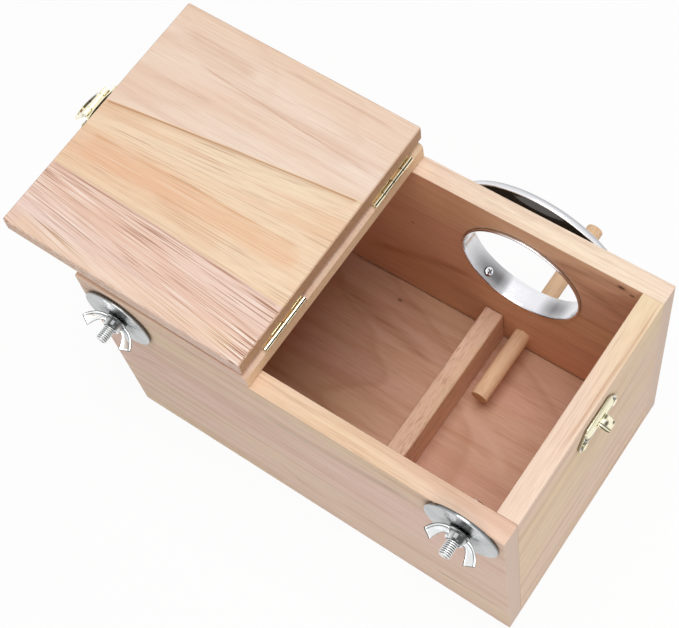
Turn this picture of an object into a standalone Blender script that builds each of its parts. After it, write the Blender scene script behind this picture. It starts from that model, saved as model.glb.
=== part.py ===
# Bird nest box: a wooden box with a low divider, a two-part lid that folds open on two butt hinges,
# a hasp that hooks on a catch, a steel entrance ring, a perch, and two bolts with washers and wing nuts
# that clamp the back of the box to cage bars.
# Metres. The origin is the centre of the underside, the entrance faces -Y and the hasp end faces -X.

import math

import bmesh
import bpy
from mathutils import Matrix
from mathutils import Vector
from mathutils.geometry import convex_hull_2d

# Clearances and edges that the whole box shares
joint_gap = 0.0003
cut_overrun = 0.001
edge_easing = 0.0005

# Wooden box
box_length = 0.200
box_depth = 0.1215
wall_height = 0.114
wall_thickness = 0.009
floor_thickness = 0.006
porch_length = 0.0642
divider_thickness = 0.009
divider_height = 0.0217

# Lid, in a fixed part over the nest and a hinged part over the porch
lid_thickness = 0.008
fixed_lid_length = 0.0856
hinged_lid_length = 0.1171
hinged_lid_width = 0.1225
hinged_lid_front_overhang = 0.00125
closed_lid_gap = 0.001
hinge_edge_chamfer = 0.0014
fold_angle = math.radians(177.5)

# Butt hinges
hinge_length = 0.026
back_hinge_inset = 0.0265
front_hinge_inset = 0.0215
knuckle_count = 4
knuckle_radius = 0.0012
hinge_pin_radius = 0.0005
leaf_width = 0.008
leaf_thickness = 0.0006
leaf_facing_gap = 0.0003
hinge_axis_inset = 0.0002
leaf_screw_spread = 0.0145
leaf_screw_inset = 0.0031

# Countersunk screws of the hinges
leaf_screw_head_radius = 0.0015
leaf_screw_shank_radius = 0.0007
leaf_screw_length = 0.006

# Round-headed screws of the hasp, the catch and the ring
round_screw_head_radius = 0.0018
ring_screw_head_radius = 0.0021
round_screw_head_height = 0.0009
round_screw_shank_radius = 0.0008
round_screw_length = 0.007

# Hasp on the lid's free edge: a plate with a lug, a pin and a swinging loop
latch_centre_y = -0.0025
hasp_plate_length = 0.0252
hasp_plate_height = 0.0070
hasp_plate_end_radius = 0.0020
hasp_plate_thickness = 0.001
hasp_plate_waist = 0.013
hasp_screw_spread = 0.0208
hasp_knuckle_radius = 0.0016
hasp_pin_radius = 0.0006
hasp_axis_rise = 0.0016
hasp_lug_width = 0.0076
loop_width = 0.0148
loop_thickness = 0.001
loop_reach = 0.0183
loop_bar_width = 0.0018
loop_rest_angle = math.radians(140)

# Catch on the end wall: a plate with two ears, a rib across it and a bill that the loop hooks under
catch_plate_thickness = 0.001
catch_drop = 0.0065
catch_plate_height = 0.012
catch_top_width = 0.0185
catch_top_corner_radius = 0.002
catch_ear_radius = 0.003
catch_ear_spread = 0.0212
catch_rib_length = 0.0195
catch_rib_half_height = 0.0037
catch_rib_depth = 0.0014
catch_rib_drop = 0.0043
bill_width = 0.0063
bill_radius = 0.005
bill_thickness = 0.001
bill_drop = 0.0032
bill_end_angle = math.radians(25)

# Steel entrance ring: a collar through the front wall and a dish outside it
entrance_from_hasp_end = 0.0634
entrance_height = 0.0762
collar_radius = 0.0285
ring_sheet = 0.0008
collar_inner_stand_out = 0.001
dish_radius = 0.0426
dish_front_distance = 0.0054
dish_rim_distance = 0.0024
dish_corner_radius = 0.002
dish_flat_share = 0.33
dish_rise_steps = 6
collar_corner_radius = 0.0022
ring_screw_depth = 0.0061
ring_screw_angles = (math.radians(-48), math.radians(132))

# Perch, one dowel through the front wall
perch_radius = 0.004
perch_height = 0.018
perch_inside = 0.0365
perch_outside = 0.0545

# Mounting bolts through the back wall, with washers and wing nuts
bolt_from_end = 0.0181
bolt_drop = 0.0094
bolt_radius = 0.0025
bolt_reach = 0.0128
bolt_tip_chamfer = 0.0005
bolt_head_radius = 0.0055
bolt_head_height = 0.0022
washer_radius = 0.0162
washer_thickness = 0.0015
nut_hub_radius = 0.0048
nut_hub_top_radius = 0.0040
nut_hub_height = 0.0045
nut_wing_span = 0.0241
nut_wing_height = 0.0091
nut_wing_thickness = 0.0014
nut_rest_angle = math.radians(28)

# Flat sides that stand for a round: fine for the entrance, plain for fittings, coarse for screws
fine_sides = 64
round_sides = 32
fitting_sides = 20
screw_sides = 12

# Places that follow from the sizes above
half_length = box_length / 2
half_depth = box_depth / 2
inner_half_length = half_length - wall_thickness
inner_half_depth = half_depth - wall_thickness
fitted_half_length = inner_half_length - joint_gap
fitted_half_depth = inner_half_depth - joint_gap
lid_bottom = wall_height + joint_gap
lid_top = lid_bottom + lid_thickness
fixed_lid_edge = half_length - fixed_lid_length
hinge_centres_y = (half_depth - back_hinge_inset, front_hinge_inset - half_depth)
axis_above_lid = joint_gap + leaf_thickness + leaf_facing_gap / 2
hinge_axis = Vector((fixed_lid_edge + hinge_axis_inset, 0, lid_top + axis_above_lid))
lid_start = hinge_axis_inset + closed_lid_gap
lid_end = lid_start + hinged_lid_length
hasp_face = lid_end + joint_gap + hasp_plate_thickness
hasp_axis = Vector((
    -(hasp_face + joint_gap + hasp_knuckle_radius),
    latch_centre_y,
    -axis_above_lid - lid_thickness + hasp_axis_rise,
))
catch_top_height = wall_height - catch_drop
catch_bottom_height = catch_top_height - catch_plate_height
catch_rib_centre_height = catch_top_height - catch_rib_drop
bill_top_height = catch_top_height - bill_drop
bolt_height = wall_height - bolt_drop
entrance_x = entrance_from_hasp_end - half_length
entrance_point = Vector((entrance_x, -half_depth, entrance_height))


# Scene and materials

def empty_the_scene():
    for existing in list(bpy.data.objects):
        bpy.data.objects.remove(existing, do_unlink=True)


def principled(name, colour, roughness, metallic):
    material = bpy.data.materials.new(name)
    material.use_nodes = True
    shader = material.node_tree.nodes["Principled BSDF"]
    shader.inputs["Base Color"].default_value = (*colour, 1)
    shader.inputs["Roughness"].default_value = roughness
    shader.inputs["Metallic"].default_value = metallic
    material.diffuse_color = (*colour, 1)
    return material


# Placing pieces and cutters

def axes(across, up):
    # The turn that lays local X along across and local Y along up.
    across = Vector(across)
    up = Vector(up)
    return Matrix((across, up, across.cross(up))).transposed().to_euler()


def facing(direction):
    # The turn that lays local Z along the direction, for round pieces.
    return Vector(direction).to_track_quat("Z", "Y").to_euler()


toward_front = axes((1, 0, 0), (0, 0, 1))
toward_hasp_end = axes((0, -1, 0), (0, 0, 1))


def add_object(name, mesh, location=(0, 0, 0), rotation=(0, 0, 0), parent=None):
    piece = bpy.data.objects.new(name, mesh)
    bpy.context.collection.objects.link(piece)
    piece.location = location
    piece.rotation_euler = rotation
    piece.parent = parent
    return piece


def add_piece(name, mesh, material, location=(0, 0, 0), rotation=(0, 0, 0), parent=None, smooth=True):
    mesh.materials.append(material)
    if smooth:
        mesh.shade_smooth()
        mesh.set_sharp_from_angle(angle=math.radians(35))
    return add_object(name, mesh, location, rotation, parent)


def add_cutter(name, mesh, location=(0, 0, 0), rotation=(0, 0, 0), parent=None):
    cutter = add_object(name, mesh, location, rotation, parent)
    cutter.display_type = "WIRE"
    cutter.hide_render = True
    return cutter


def combine(piece, other, operation):
    step = piece.modifiers.new(operation.title(), "BOOLEAN")
    step.operation = operation
    step.object = other


def cut(piece, cutter):
    combine(piece, cutter, "DIFFERENCE")


def ease_edges(piece):
    step = piece.modifiers.new("Eased edges", "BEVEL")
    step.width = edge_easing
    step.segments = 1
    step.limit_method = "ANGLE"
    step.angle_limit = math.radians(60)


# Shapes

def mesh_from(shape, name):
    bmesh.ops.recalc_face_normals(shape, faces=shape.faces)
    mesh = bpy.data.meshes.new(name)
    shape.to_mesh(mesh)
    shape.free()
    return mesh


def block(name, low, high):
    # A box between two opposite corners.
    shape = bmesh.new()
    low = Vector(low)
    high = Vector(high)
    size = high - low
    place = Matrix.Translation((low + high) / 2) @ Matrix.Diagonal((*size, 1))
    bmesh.ops.create_cube(shape, size=1, matrix=place)
    return mesh_from(shape, name)


def prism(name, outline, width):
    # An outline in local X and Y, half the width to each side of it along local Z.
    shape = bmesh.new()
    corners = [shape.verts.new((x, y, -width / 2)) for x, y in outline]
    bottom = shape.faces.new(corners)
    grown = bmesh.ops.extrude_face_region(shape, geom=[bottom])["geom"]
    raised = [item for item in grown if isinstance(item, bmesh.types.BMVert)]
    bmesh.ops.translate(shape, verts=raised, vec=(0, 0, width))
    return mesh_from(shape, name)


def turned(name, profile, sides, closed=False):
    # A profile of (radius, height) points turned round local Z; a point on the axis stays one point.
    shape = bmesh.new()
    rings = []
    for radius, height in profile:
        count = sides if radius > 0 else 1
        turns = [2 * math.pi * step / sides for step in range(count)]
        ring = [shape.verts.new((radius * math.cos(a), radius * math.sin(a), height)) for a in turns]
        rings.append(ring)
    following = rings[1:] + rings[:1] if closed else rings[1:]
    for lower, upper in zip(rings, following):
        for step in range(sides):
            after = step + 1
            corners = [
                lower[step % len(lower)],
                lower[after % len(lower)],
                upper[after % len(upper)],
                upper[step % len(upper)],
            ]
            shape.faces.new(list(dict.fromkeys(corners)))
    return mesh_from(shape, name)


def rod(name, radius, low, high, sides):
    return turned(name, [(0, low), (radius, low), (radius, high), (0, high)], sides)


def arc(centre, radius, start, end, steps):
    # Points along an arc, both ends included.
    turns = [start + (end - start) * step / steps for step in range(steps + 1)]
    return [(centre[0] + radius * math.cos(a), centre[1] + radius * math.sin(a)) for a in turns]


def hull_of_rounds(rounds, sides):
    # The outline of a string drawn tight round discs given as (x, y, radius).
    points = []
    for x, y, radius in rounds:
        points += arc((x, y), radius, 0, 2 * math.pi, sides)[:-1]
    return [points[index] for index in convex_hull_2d([Vector(point) for point in points])]


def knuckle_outline(knuckle, arm_start, arm_end, reach):
    # A knuckle round the origin with an arm toward local X, between two heights.
    start = math.asin(arm_end / knuckle)
    end = 2 * math.pi + math.asin(arm_start / knuckle)
    around = arc((0, 0), knuckle, start, end, fitting_sides)
    return around + [(reach, arm_start), (reach, arm_end)]


# Screws, with local Z pointing out of the piece that they hold

def countersunk_profile(extra):
    # The extra is zero for the screw and the clearance for its hole.
    head = leaf_screw_head_radius + extra
    shank = leaf_screw_shank_radius + extra
    return head, shank


def countersunk_screw():
    head, shank = countersunk_profile(0)
    end = leaf_screw_length - shank
    profile = [(0, 0), (head, 0), (shank, -leaf_thickness), (shank, -end), (0, -leaf_screw_length)]
    return turned("countersunk_screw", profile, screw_sides)


def countersunk_hole():
    head, shank = countersunk_profile(joint_gap)
    end = leaf_screw_length + joint_gap
    profile = [(0, cut_overrun), (head, cut_overrun), (head, 0), (shank, -leaf_thickness)]
    profile += [(shank, -end), (0, -end)]
    return turned("countersunk_hole", profile, screw_sides)


def round_screw(radius=round_screw_head_radius):
    height = round_screw_head_height
    shank = round_screw_shank_radius
    crown = [(radius * math.cos(a), height * math.sin(a)) for a in (0, math.radians(35), math.radians(65))]
    tip = shank - round_screw_length
    profile = [(0, -round_screw_length), (shank, tip), (shank, 0)] + crown + [(0, height)]
    return turned("round_screw", profile, screw_sides)


def round_screw_hole():
    end = round_screw_length + joint_gap
    return rod("round_screw_hole", round_screw_shank_radius + joint_gap, -end, cut_overrun, screw_sides)


def add_screws(name, make_screw, material, places, rotation, parent=None):
    for number, place in enumerate(places, 1):
        add_piece(f"{name}_screw_{number}", make_screw(), material, place, rotation, parent)


# Wooden box

def entrance_hole(depth):
    # The hole widens at the outer face, where the ring's collar bends over the wall.
    hole = collar_radius + joint_gap
    flare = collar_corner_radius + joint_gap
    profile = [(0, -depth), (hole, -depth), (hole, -flare), (hole + flare, 0)]
    profile += [(hole + flare, cut_overrun), (0, cut_overrun)]
    return turned("cut_entrance", profile, fine_sides)


def add_front_wall(wood):
    mesh = block("front_wall", (-half_length, -half_depth, 0), (half_length, -inner_half_depth, wall_height))
    wall = add_piece("front_wall", mesh, wood, smooth=False)
    ease_edges(wall)
    depth = wall_thickness + cut_overrun
    cut(wall, add_cutter("cut_entrance", entrance_hole(depth), entrance_point, toward_front))
    bore = rod("cut_perch", perch_radius + joint_gap, -depth, cut_overrun, round_sides)
    perch_point = (entrance_x, -half_depth, perch_height)
    cut(wall, add_cutter("cut_perch", bore, perch_point, toward_front))
    for angle in ring_screw_angles:
        point, rotation = ring_screw_place(angle)
        cut(wall, add_cutter("cut_ring_screw", round_screw_hole(), point, rotation))


def add_back_wall(wood):
    mesh = block("back_wall", (-half_length, inner_half_depth, 0), (half_length, half_depth, wall_height))
    wall = add_piece("back_wall", mesh, wood, smooth=False)
    ease_edges(wall)
    beyond = wall_thickness + cut_overrun
    for x in bolt_places():
        hole = rod("cut_bolt", bolt_radius + joint_gap, -cut_overrun, beyond, fitting_sides)
        cut(wall, add_cutter("cut_bolt", hole, (x, inner_half_depth, bolt_height), facing((0, 1, 0))))


def add_end_walls(wood):
    for name, side in (("hasp_end_wall", -1), ("nest_end_wall", 1)):
        inner = side * inner_half_length
        outer = side * half_length
        low = (min(inner, outer), -fitted_half_depth, 0)
        high = (max(inner, outer), fitted_half_depth, wall_height)
        wall = add_piece(name, block(name, low, high), wood, smooth=False)
        ease_edges(wall)
        if side < 0:
            for point in catch_screw_places():
                seat = Vector((-half_length, point.y, point.z))
                cut(wall, add_cutter("cut_catch_screw", round_screw_hole(), seat, facing((-1, 0, 0))))


def add_floor_and_divider(wood):
    low = (-fitted_half_length, -fitted_half_depth, 0)
    high = (fitted_half_length, fitted_half_depth, floor_thickness)
    ease_edges(add_piece("floor_panel", block("floor_panel", low, high), wood, smooth=False))
    start = -inner_half_length + porch_length
    bottom = floor_thickness + joint_gap
    low = (start, -fitted_half_depth, bottom)
    high = (start + divider_thickness, fitted_half_depth, bottom + divider_height)
    ease_edges(add_piece("divider", block("divider", low, high), wood, smooth=False))


# Lid

def add_fixed_lid(wood):
    outline = [
        (fixed_lid_edge, lid_bottom),
        (half_length, lid_bottom),
        (half_length, lid_top),
        (fixed_lid_edge + hinge_edge_chamfer, lid_top),
        (fixed_lid_edge, lid_top - hinge_edge_chamfer),
    ]
    mesh = prism("fixed_lid", outline, box_depth)
    lid = add_piece("fixed_lid", mesh, wood, rotation=toward_front, smooth=False)
    ease_edges(lid)
    for point in leaf_screw_places(1):
        cut(lid, add_cutter("cut_fixed_lid_screw", countersunk_hole(), hinge_axis + point))


def add_hinged_lid(wood, lid_frame):
    front = -half_depth - hinged_lid_front_overhang
    low = (-lid_end, front, -axis_above_lid - lid_thickness)
    high = (-lid_start, front + hinged_lid_width, -axis_above_lid)
    lid = add_piece("hinged_lid", block("hinged_lid", low, high), wood, parent=lid_frame, smooth=False)
    ease_edges(lid)
    for point in leaf_screw_places(-1):
        cut(lid, add_cutter("cut_hinged_lid_screw", countersunk_hole(), point, parent=lid_frame))
    for point in hasp_screw_places():
        seat = Vector((-lid_end, point.y, point.z))
        cutter = add_cutter("cut_hasp_screw", round_screw_hole(), seat, facing((-1, 0, 0)), lid_frame)
        cut(lid, cutter)


# Butt hinges: side is 1 for the leaf on the fixed lid and -1 for the leaf on the hinged lid

def leaf_screw_places(side):
    # Where the screw heads lie flush in the leaves, from the hinge axis.
    reach = side * (leaf_width - leaf_screw_inset)
    places = []
    for centre in hinge_centres_y:
        for end in (-1, 1):
            places.append(Vector((reach, centre + end * leaf_screw_spread / 2, -leaf_facing_gap / 2)))
    return places


def leaf_mesh(side):
    top = -leaf_facing_gap / 2
    outline = knuckle_outline(knuckle_radius, top - leaf_thickness, top, leaf_width)
    return prism("leaf", [(side * x, y) for x, y in outline], hinge_length)


def add_hinge(name, centre, side, brass, frame, origin):
    place = origin + Vector((0, centre, 0))
    leaf = add_piece(name, leaf_mesh(side), brass, place, toward_front, frame)
    knuckle = hinge_length / knuckle_count
    swing = knuckle_radius + joint_gap
    for index in range(knuckle_count):
        # From the back wall forward the knuckles are hinged, fixed, hinged, fixed.
        owner = 1 if index % 2 else -1
        if owner == side:
            continue
        back = hinge_length / 2 - index * knuckle + joint_gap / 2
        front = back - knuckle - joint_gap
        if index == 0:
            back += cut_overrun
        if index == knuckle_count - 1:
            front -= cut_overrun
        space = block("cut_knuckle", (-swing, front, -swing), (swing, back, swing))
        cut(leaf, add_cutter("cut_knuckle", space, place, parent=frame))
    long = hinge_length / 2 + cut_overrun
    bore = rod("cut_hinge_bore", hinge_pin_radius + joint_gap, -long, long, screw_sides)
    cut(leaf, add_cutter("cut_hinge_bore", bore, place, toward_front, frame))
    for point in leaf_screw_places(side):
        if abs(point.y - centre) < hinge_length:
            cut(leaf, add_cutter("cut_leaf_screw", countersunk_hole(), origin + point, parent=frame))


def add_hinges(brass, lid_frame):
    for label, centre in zip(("back", "front"), hinge_centres_y):
        add_hinge(label + "_hinge_fixed_leaf", centre, 1, brass, None, hinge_axis)
        add_hinge(label + "_hinge_lid_leaf", centre, -1, brass, lid_frame, Vector((0, 0, 0)))
        half = hinge_length / 2
        pin = rod("hinge_pin", hinge_pin_radius, -half, half, screw_sides)
        place = hinge_axis + Vector((0, centre, 0))
        add_piece(label + "_hinge_pin", pin, brass, place, toward_front)
    upright = facing((0, 0, 1))
    fixed = [hinge_axis + point for point in leaf_screw_places(1)]
    add_screws("fixed_leaf", countersunk_screw, brass, fixed, upright)
    add_screws("lid_leaf", countersunk_screw, brass, leaf_screw_places(-1), upright, lid_frame)


# Hasp, placed from the hinge axis as it lies when the lid is shut

def hasp_screw_places():
    middle = -axis_above_lid - lid_thickness / 2
    face = -hasp_face
    return [Vector((face, latch_centre_y + end * hasp_screw_spread / 2, middle)) for end in (-1, 1)]


def add_hasp_plate(brass, lid_frame):
    waist = hasp_plate_waist / 2 - hasp_plate_height / 2
    tip = hasp_plate_length / 2 - hasp_plate_end_radius
    rounds = [(side * waist, 0, hasp_plate_height / 2) for side in (-1, 1)]
    rounds += [(side * tip, 0, hasp_plate_end_radius) for side in (-1, 1)]
    outline = hull_of_rounds(rounds, fitting_sides)
    middle = -axis_above_lid - lid_thickness / 2
    place = Vector((hasp_plate_thickness / 2 - hasp_face, latch_centre_y, middle))
    mesh = prism("hasp_plate", outline, hasp_plate_thickness)
    plate = add_piece("hasp_plate", mesh, brass, place, toward_hasp_end, lid_frame)
    # The lug reaches from the pin into the plate's own thickness.
    into_plate = -(hasp_face - hasp_plate_thickness / 2 + hasp_axis.x)
    knuckle = hasp_knuckle_radius
    lug_outline = knuckle_outline(knuckle, -knuckle / 2, knuckle / 2, into_plate)
    lug = add_cutter("join_hasp_lug", prism("join_hasp_lug", lug_outline, hasp_lug_width), hasp_axis,
                     toward_front, lid_frame)
    combine(plate, lug, "UNION")
    cut(plate, add_cutter("cut_hasp_lug_bore", hasp_bore(), hasp_axis, toward_front, lid_frame))
    outward = facing((-1, 0, 0))
    for point in hasp_screw_places():
        cut(plate, add_cutter("cut_hasp_plate_screw", round_screw_hole(), point, outward, lid_frame))


def hasp_bore():
    long = loop_width / 2 + cut_overrun
    return rod("hasp_bore", hasp_pin_radius + joint_gap, -long, long, screw_sides)


def arch_outline(half_width, reach, top):
    # From the top down to the reach along -Y, with a round end as wide as the arch.
    end = arc((0, half_width - reach), half_width, -math.pi, 0, fitting_sides)
    return [(-half_width, top)] + end + [(half_width, top)]


def add_hasp_loop(brass, loop_frame):
    # The loop hangs along local -Z of its frame when the hasp is done up.
    flat = axes((0, 1, 0), (0, 0, 1))
    half = loop_width / 2
    mesh = prism("hasp_loop", arch_outline(half, loop_reach, 0), loop_thickness)
    loop = add_piece("hasp_loop", mesh, brass, rotation=flat, parent=loop_frame)
    barrel = rod("join_loop_barrel", hasp_knuckle_radius, -half, half, fitting_sides)
    combine(loop, add_cutter("join_loop_barrel", barrel, (0, 0, 0), toward_front, loop_frame), "UNION")
    open_half = half - loop_bar_width
    shoulder = -hasp_knuckle_radius - loop_bar_width
    inside = arch_outline(open_half, loop_reach - loop_bar_width, shoulder)
    opening = prism("cut_loop_opening", inside, 2 * hasp_knuckle_radius)
    cut(loop, add_cutter("cut_loop_opening", opening, rotation=flat, parent=loop_frame))
    deep = hasp_knuckle_radius + cut_overrun
    lug_half = hasp_lug_width / 2 + joint_gap
    gap = block("cut_loop_lug", (-deep, -lug_half, shoulder - cut_overrun), (deep, lug_half, deep))
    cut(loop, add_cutter("cut_loop_lug", gap, parent=loop_frame))
    cut(loop, add_cutter("cut_loop_bore", hasp_bore(), (0, 0, 0), toward_front, loop_frame))


def add_hasp(brass, lid_frame):
    add_hasp_plate(brass, lid_frame)
    loop_frame = add_object("hasp_axis", None, hasp_axis, (0, loop_rest_angle, 0), lid_frame)
    add_hasp_loop(brass, loop_frame)
    half = loop_width / 2
    pin = rod("hasp_pin", hasp_pin_radius, -half, half, screw_sides)
    add_piece("hasp_pin", pin, brass, hasp_axis, toward_front, lid_frame)
    lift = Vector((-joint_gap, 0, 0))
    places = [point + lift for point in hasp_screw_places()]
    add_screws("hasp", round_screw, brass, places, facing((-1, 0, 0)), lid_frame)


# Catch

def catch_screw_places():
    height = catch_bottom_height + catch_ear_radius
    face = -half_length - joint_gap - catch_plate_thickness
    return [Vector((face, latch_centre_y + end * catch_ear_spread / 2, height)) for end in (-1, 1)]


def add_catch(brass):
    corner = catch_top_corner_radius
    top_x = catch_top_width / 2 - corner
    top_y = catch_top_height - corner
    ear_x = catch_ear_spread / 2
    ear_y = catch_bottom_height + catch_ear_radius
    rounds = [(side * top_x, top_y, corner) for side in (-1, 1)]
    rounds += [(side * ear_x, ear_y, catch_ear_radius) for side in (-1, 1)]
    outline = hull_of_rounds(rounds, fitting_sides)
    middle = -half_length - joint_gap - catch_plate_thickness / 2
    place = (middle, latch_centre_y, 0)
    mesh = prism("catch_plate", outline, catch_plate_thickness)
    plate = add_piece("catch_plate", mesh, brass, place, toward_hasp_end)
    # The rib and the bill are drawn with X outward from the middle of the plate's thickness.
    outward = axes((-1, 0, 0), (0, 0, 1))
    bulge = catch_plate_thickness / 2 + catch_rib_depth
    half_turn = arc((0, 0), 1, -math.pi / 2, math.pi / 2, fitting_sides)
    rib_outline = [(bulge * x, catch_rib_centre_height + catch_rib_half_height * y) for x, y in half_turn]
    rib = prism("join_rib", rib_outline, catch_rib_length)
    combine(plate, add_cutter("join_rib", rib, place, outward), "UNION")
    centre = (bulge, bill_top_height - bill_thickness / 2 - bill_radius)
    level = math.pi / 2
    upper = arc(centre, bill_radius + bill_thickness / 2, level, bill_end_angle, fitting_sides // 2)
    lower = arc(centre, bill_radius - bill_thickness / 2, bill_end_angle, level, fitting_sides // 2)
    root = [(0, lower[-1][1]), (0, upper[0][1])]
    bill = prism("join_bill", upper + lower + root, bill_width)
    combine(plate, add_cutter("join_bill", bill, place, outward), "UNION")
    for point in catch_screw_places():
        cut(plate, add_cutter("cut_catch_plate_screw", round_screw_hole(), point, facing((-1, 0, 0))))
    lift = Vector((-joint_gap, 0, 0))
    places = [point + lift for point in catch_screw_places()]
    add_screws("catch", round_screw, brass, places, facing((-1, 0, 0)))


# Entrance ring

def ring_screw_place(angle):
    # A screw in the collar's inner side, its head toward the middle of the hole.
    outward = Vector((math.cos(angle), 0, math.sin(angle)))
    inner_radius = collar_radius - ring_sheet - joint_gap
    point = entrance_point + outward * inner_radius + Vector((0, ring_screw_depth, 0))
    return point, facing(-outward)


def dish_rise(start, end, offset):
    # The dish rises in a smooth double curve from its flat part to its rolled edge.
    rise = dish_front_distance - ring_sheet - joint_gap
    width = end - start
    points = []
    for step in range(dish_rise_steps + 1):
        share = step / dish_rise_steps
        distance = joint_gap + rise * (1 - math.cos(math.pi * share)) / 2
        slope = rise * math.pi * math.sin(math.pi * share) / (2 * width)
        square = math.hypot(1, slope)
        points.append((start + share * width - offset * slope / square, distance + offset / square))
    return points


def ring_profile():
    # Radius against distance from the wall's outer face, the wall side first and back along the open side.
    back = -wall_thickness - collar_inner_stand_out
    bend = collar_corner_radius
    roll = dish_corner_radius
    quarter = math.pi / 2
    shell = collar_radius + bend
    edge = dish_radius - roll
    flat_end = shell + dish_flat_share * (edge - shell)
    corner = (edge, dish_front_distance - roll)
    steps = 4
    wall_side = [(collar_radius, back)]
    wall_side += arc((shell, joint_gap - bend), bend, 2 * quarter, quarter, steps)
    wall_side += dish_rise(flat_end, edge, 0)
    wall_side += arc(corner, roll - ring_sheet, quarter, 0, steps)[1:]
    wall_side += [(dish_radius - ring_sheet, dish_rim_distance)]
    open_side = [(dish_radius, dish_rim_distance)]
    open_side += arc(corner, roll, 0, quarter, steps)
    open_side += dish_rise(flat_end, edge, ring_sheet)[-2::-1]
    open_side += arc((shell, joint_gap - bend), bend + ring_sheet, quarter, 2 * quarter, steps)
    open_side += [(collar_radius - ring_sheet, back)]
    return wall_side + open_side


def add_entrance_ring(steel):
    mesh = turned("entrance_ring", ring_profile(), fine_sides, closed=True)
    ring = add_piece("entrance_ring", mesh, steel, entrance_point, toward_front)
    for number, angle in enumerate(ring_screw_angles, 1):
        point, rotation = ring_screw_place(angle)
        cut(ring, add_cutter("cut_collar_screw", round_screw_hole(), point, rotation))
        screw = round_screw(ring_screw_head_radius)
        add_piece(f"ring_screw_{number}", screw, steel, point, rotation)


def add_perch(wood):
    # Local Z points out of the front, from the wall's outer face.
    inner_end = -wall_thickness - perch_inside
    soft = edge_easing
    profile = [
        (0, inner_end),
        (perch_radius - soft, inner_end),
        (perch_radius, inner_end + soft),
        (perch_radius, perch_outside - soft),
        (perch_radius - soft, perch_outside),
        (0, perch_outside),
    ]
    mesh = turned("perch", profile, round_sides)
    add_piece("perch", mesh, wood, (entrance_x, -half_depth, perch_height), toward_front)


# Mounting bolts, washers and wing nuts

def bolt_places():
    return [side * (half_length - bolt_from_end) for side in (-1, 1)]


def bolt_mesh():
    # Local Z runs outward from the wall's inner face, where the domed head rests.
    seat = -joint_gap
    end = wall_thickness + bolt_reach
    crown = [(bolt_head_radius * math.cos(a), seat - bolt_head_height * math.sin(a))
             for a in (math.radians(60), math.radians(30), 0)]
    profile = [(0, seat - bolt_head_height)] + crown
    profile += [(bolt_radius, seat), (bolt_radius, end - bolt_tip_chamfer)]
    profile += [(bolt_radius - bolt_tip_chamfer, end), (0, end)]
    return turned("bolt", profile, fitting_sides)


def washer_mesh():
    hole = bolt_radius + joint_gap
    profile = [(hole, 0), (washer_radius, 0), (washer_radius, washer_thickness), (hole, washer_thickness)]
    return turned("washer", profile, round_sides, closed=True)


def wing_outline(side):
    # One wing seen flat: X along the span, Y out along the bolt. Shares of half the span and the height.
    shares = (
        (0.27, 0.05), (0.43, 0.05), (0.60, 0.11), (0.78, 0.26), (0.92, 0.49), (1.00, 0.72), (0.98, 0.77),
        (0.70, 0.99), (0.65, 1.00), (0.58, 0.70), (0.49, 0.45), (0.38, 0.36), (0.27, 0.35),
    )
    return [(side * x * nut_wing_span / 2, y * nut_wing_height) for x, y in shares]


def add_wing_nut(name, place, steel):
    bore = bolt_radius + joint_gap
    profile = [(bore, 0), (nut_hub_radius, 0), (nut_hub_top_radius, nut_hub_height), (bore, nut_hub_height)]
    upright = axes((1, 0, 0), (0, 0, -1))
    nut = add_piece(name, turned(name, profile, fitting_sides, closed=True), steel, place)
    nut.rotation_euler = upright
    nut.rotation_euler.rotate_axis("Z", nut_rest_angle)
    for side in (-1, 1):
        mesh = prism("join_wing", wing_outline(side), nut_wing_thickness)
        wing = add_cutter("join_wing", mesh, rotation=axes((1, 0, 0), (0, 0, 1)), parent=nut)
        combine(nut, wing, "UNION")


def add_mounting_bolts(steel):
    outward = facing((0, 1, 0))
    for label, x in zip(("hasp_end", "nest_end"), bolt_places()):
        add_piece(label + "_bolt", bolt_mesh(), steel, (x, inner_half_depth, bolt_height), outward)
        washer_place = Vector((x, half_depth + joint_gap, bolt_height))
        add_piece(label + "_washer", washer_mesh(), steel, washer_place, outward)
        nut_place = washer_place + Vector((0, washer_thickness + joint_gap, 0))
        add_wing_nut(label + "_wing_nut", nut_place, steel)


def main():
    empty_the_scene()
    wall_wood = principled("wall_wood", (0.70, 0.51, 0.37), 0.6, 0)
    lid_wood = principled("lid_wood", (0.80, 0.61, 0.46), 0.6, 0)
    perch_wood = principled("perch_wood", (0.78, 0.55, 0.36), 0.6, 0)
    brass = principled("brass", (0.87, 0.77, 0.42), 0.25, 1)
    zinc = principled("zinc_steel", (0.72, 0.74, 0.75), 0.3, 1)
    stainless = principled("stainless_steel", (0.70, 0.70, 0.71), 0.2, 1)
    lid_frame = add_object("lid_axis", None, hinge_axis, (0, fold_angle, 0))
    add_front_wall(wall_wood)
    add_back_wall(wall_wood)
    add_end_walls(wall_wood)
    add_floor_and_divider(wall_wood)
    add_fixed_lid(lid_wood)
    add_hinged_lid(lid_wood, lid_frame)
    add_hinges(brass, lid_frame)
    add_hasp(brass, lid_frame)
    add_catch(brass)
    add_entrance_ring(stainless)
    add_perch(perch_wood)
    add_mounting_bolts(zinc)


main()
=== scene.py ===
# Bird nest box with a folding lid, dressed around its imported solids.
# Lengths in the dictionaries are millimetres; mm turns them to the frame's metres.

import math

import bmesh
import bpy
import numpy as np
from mathutils import Matrix


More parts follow.
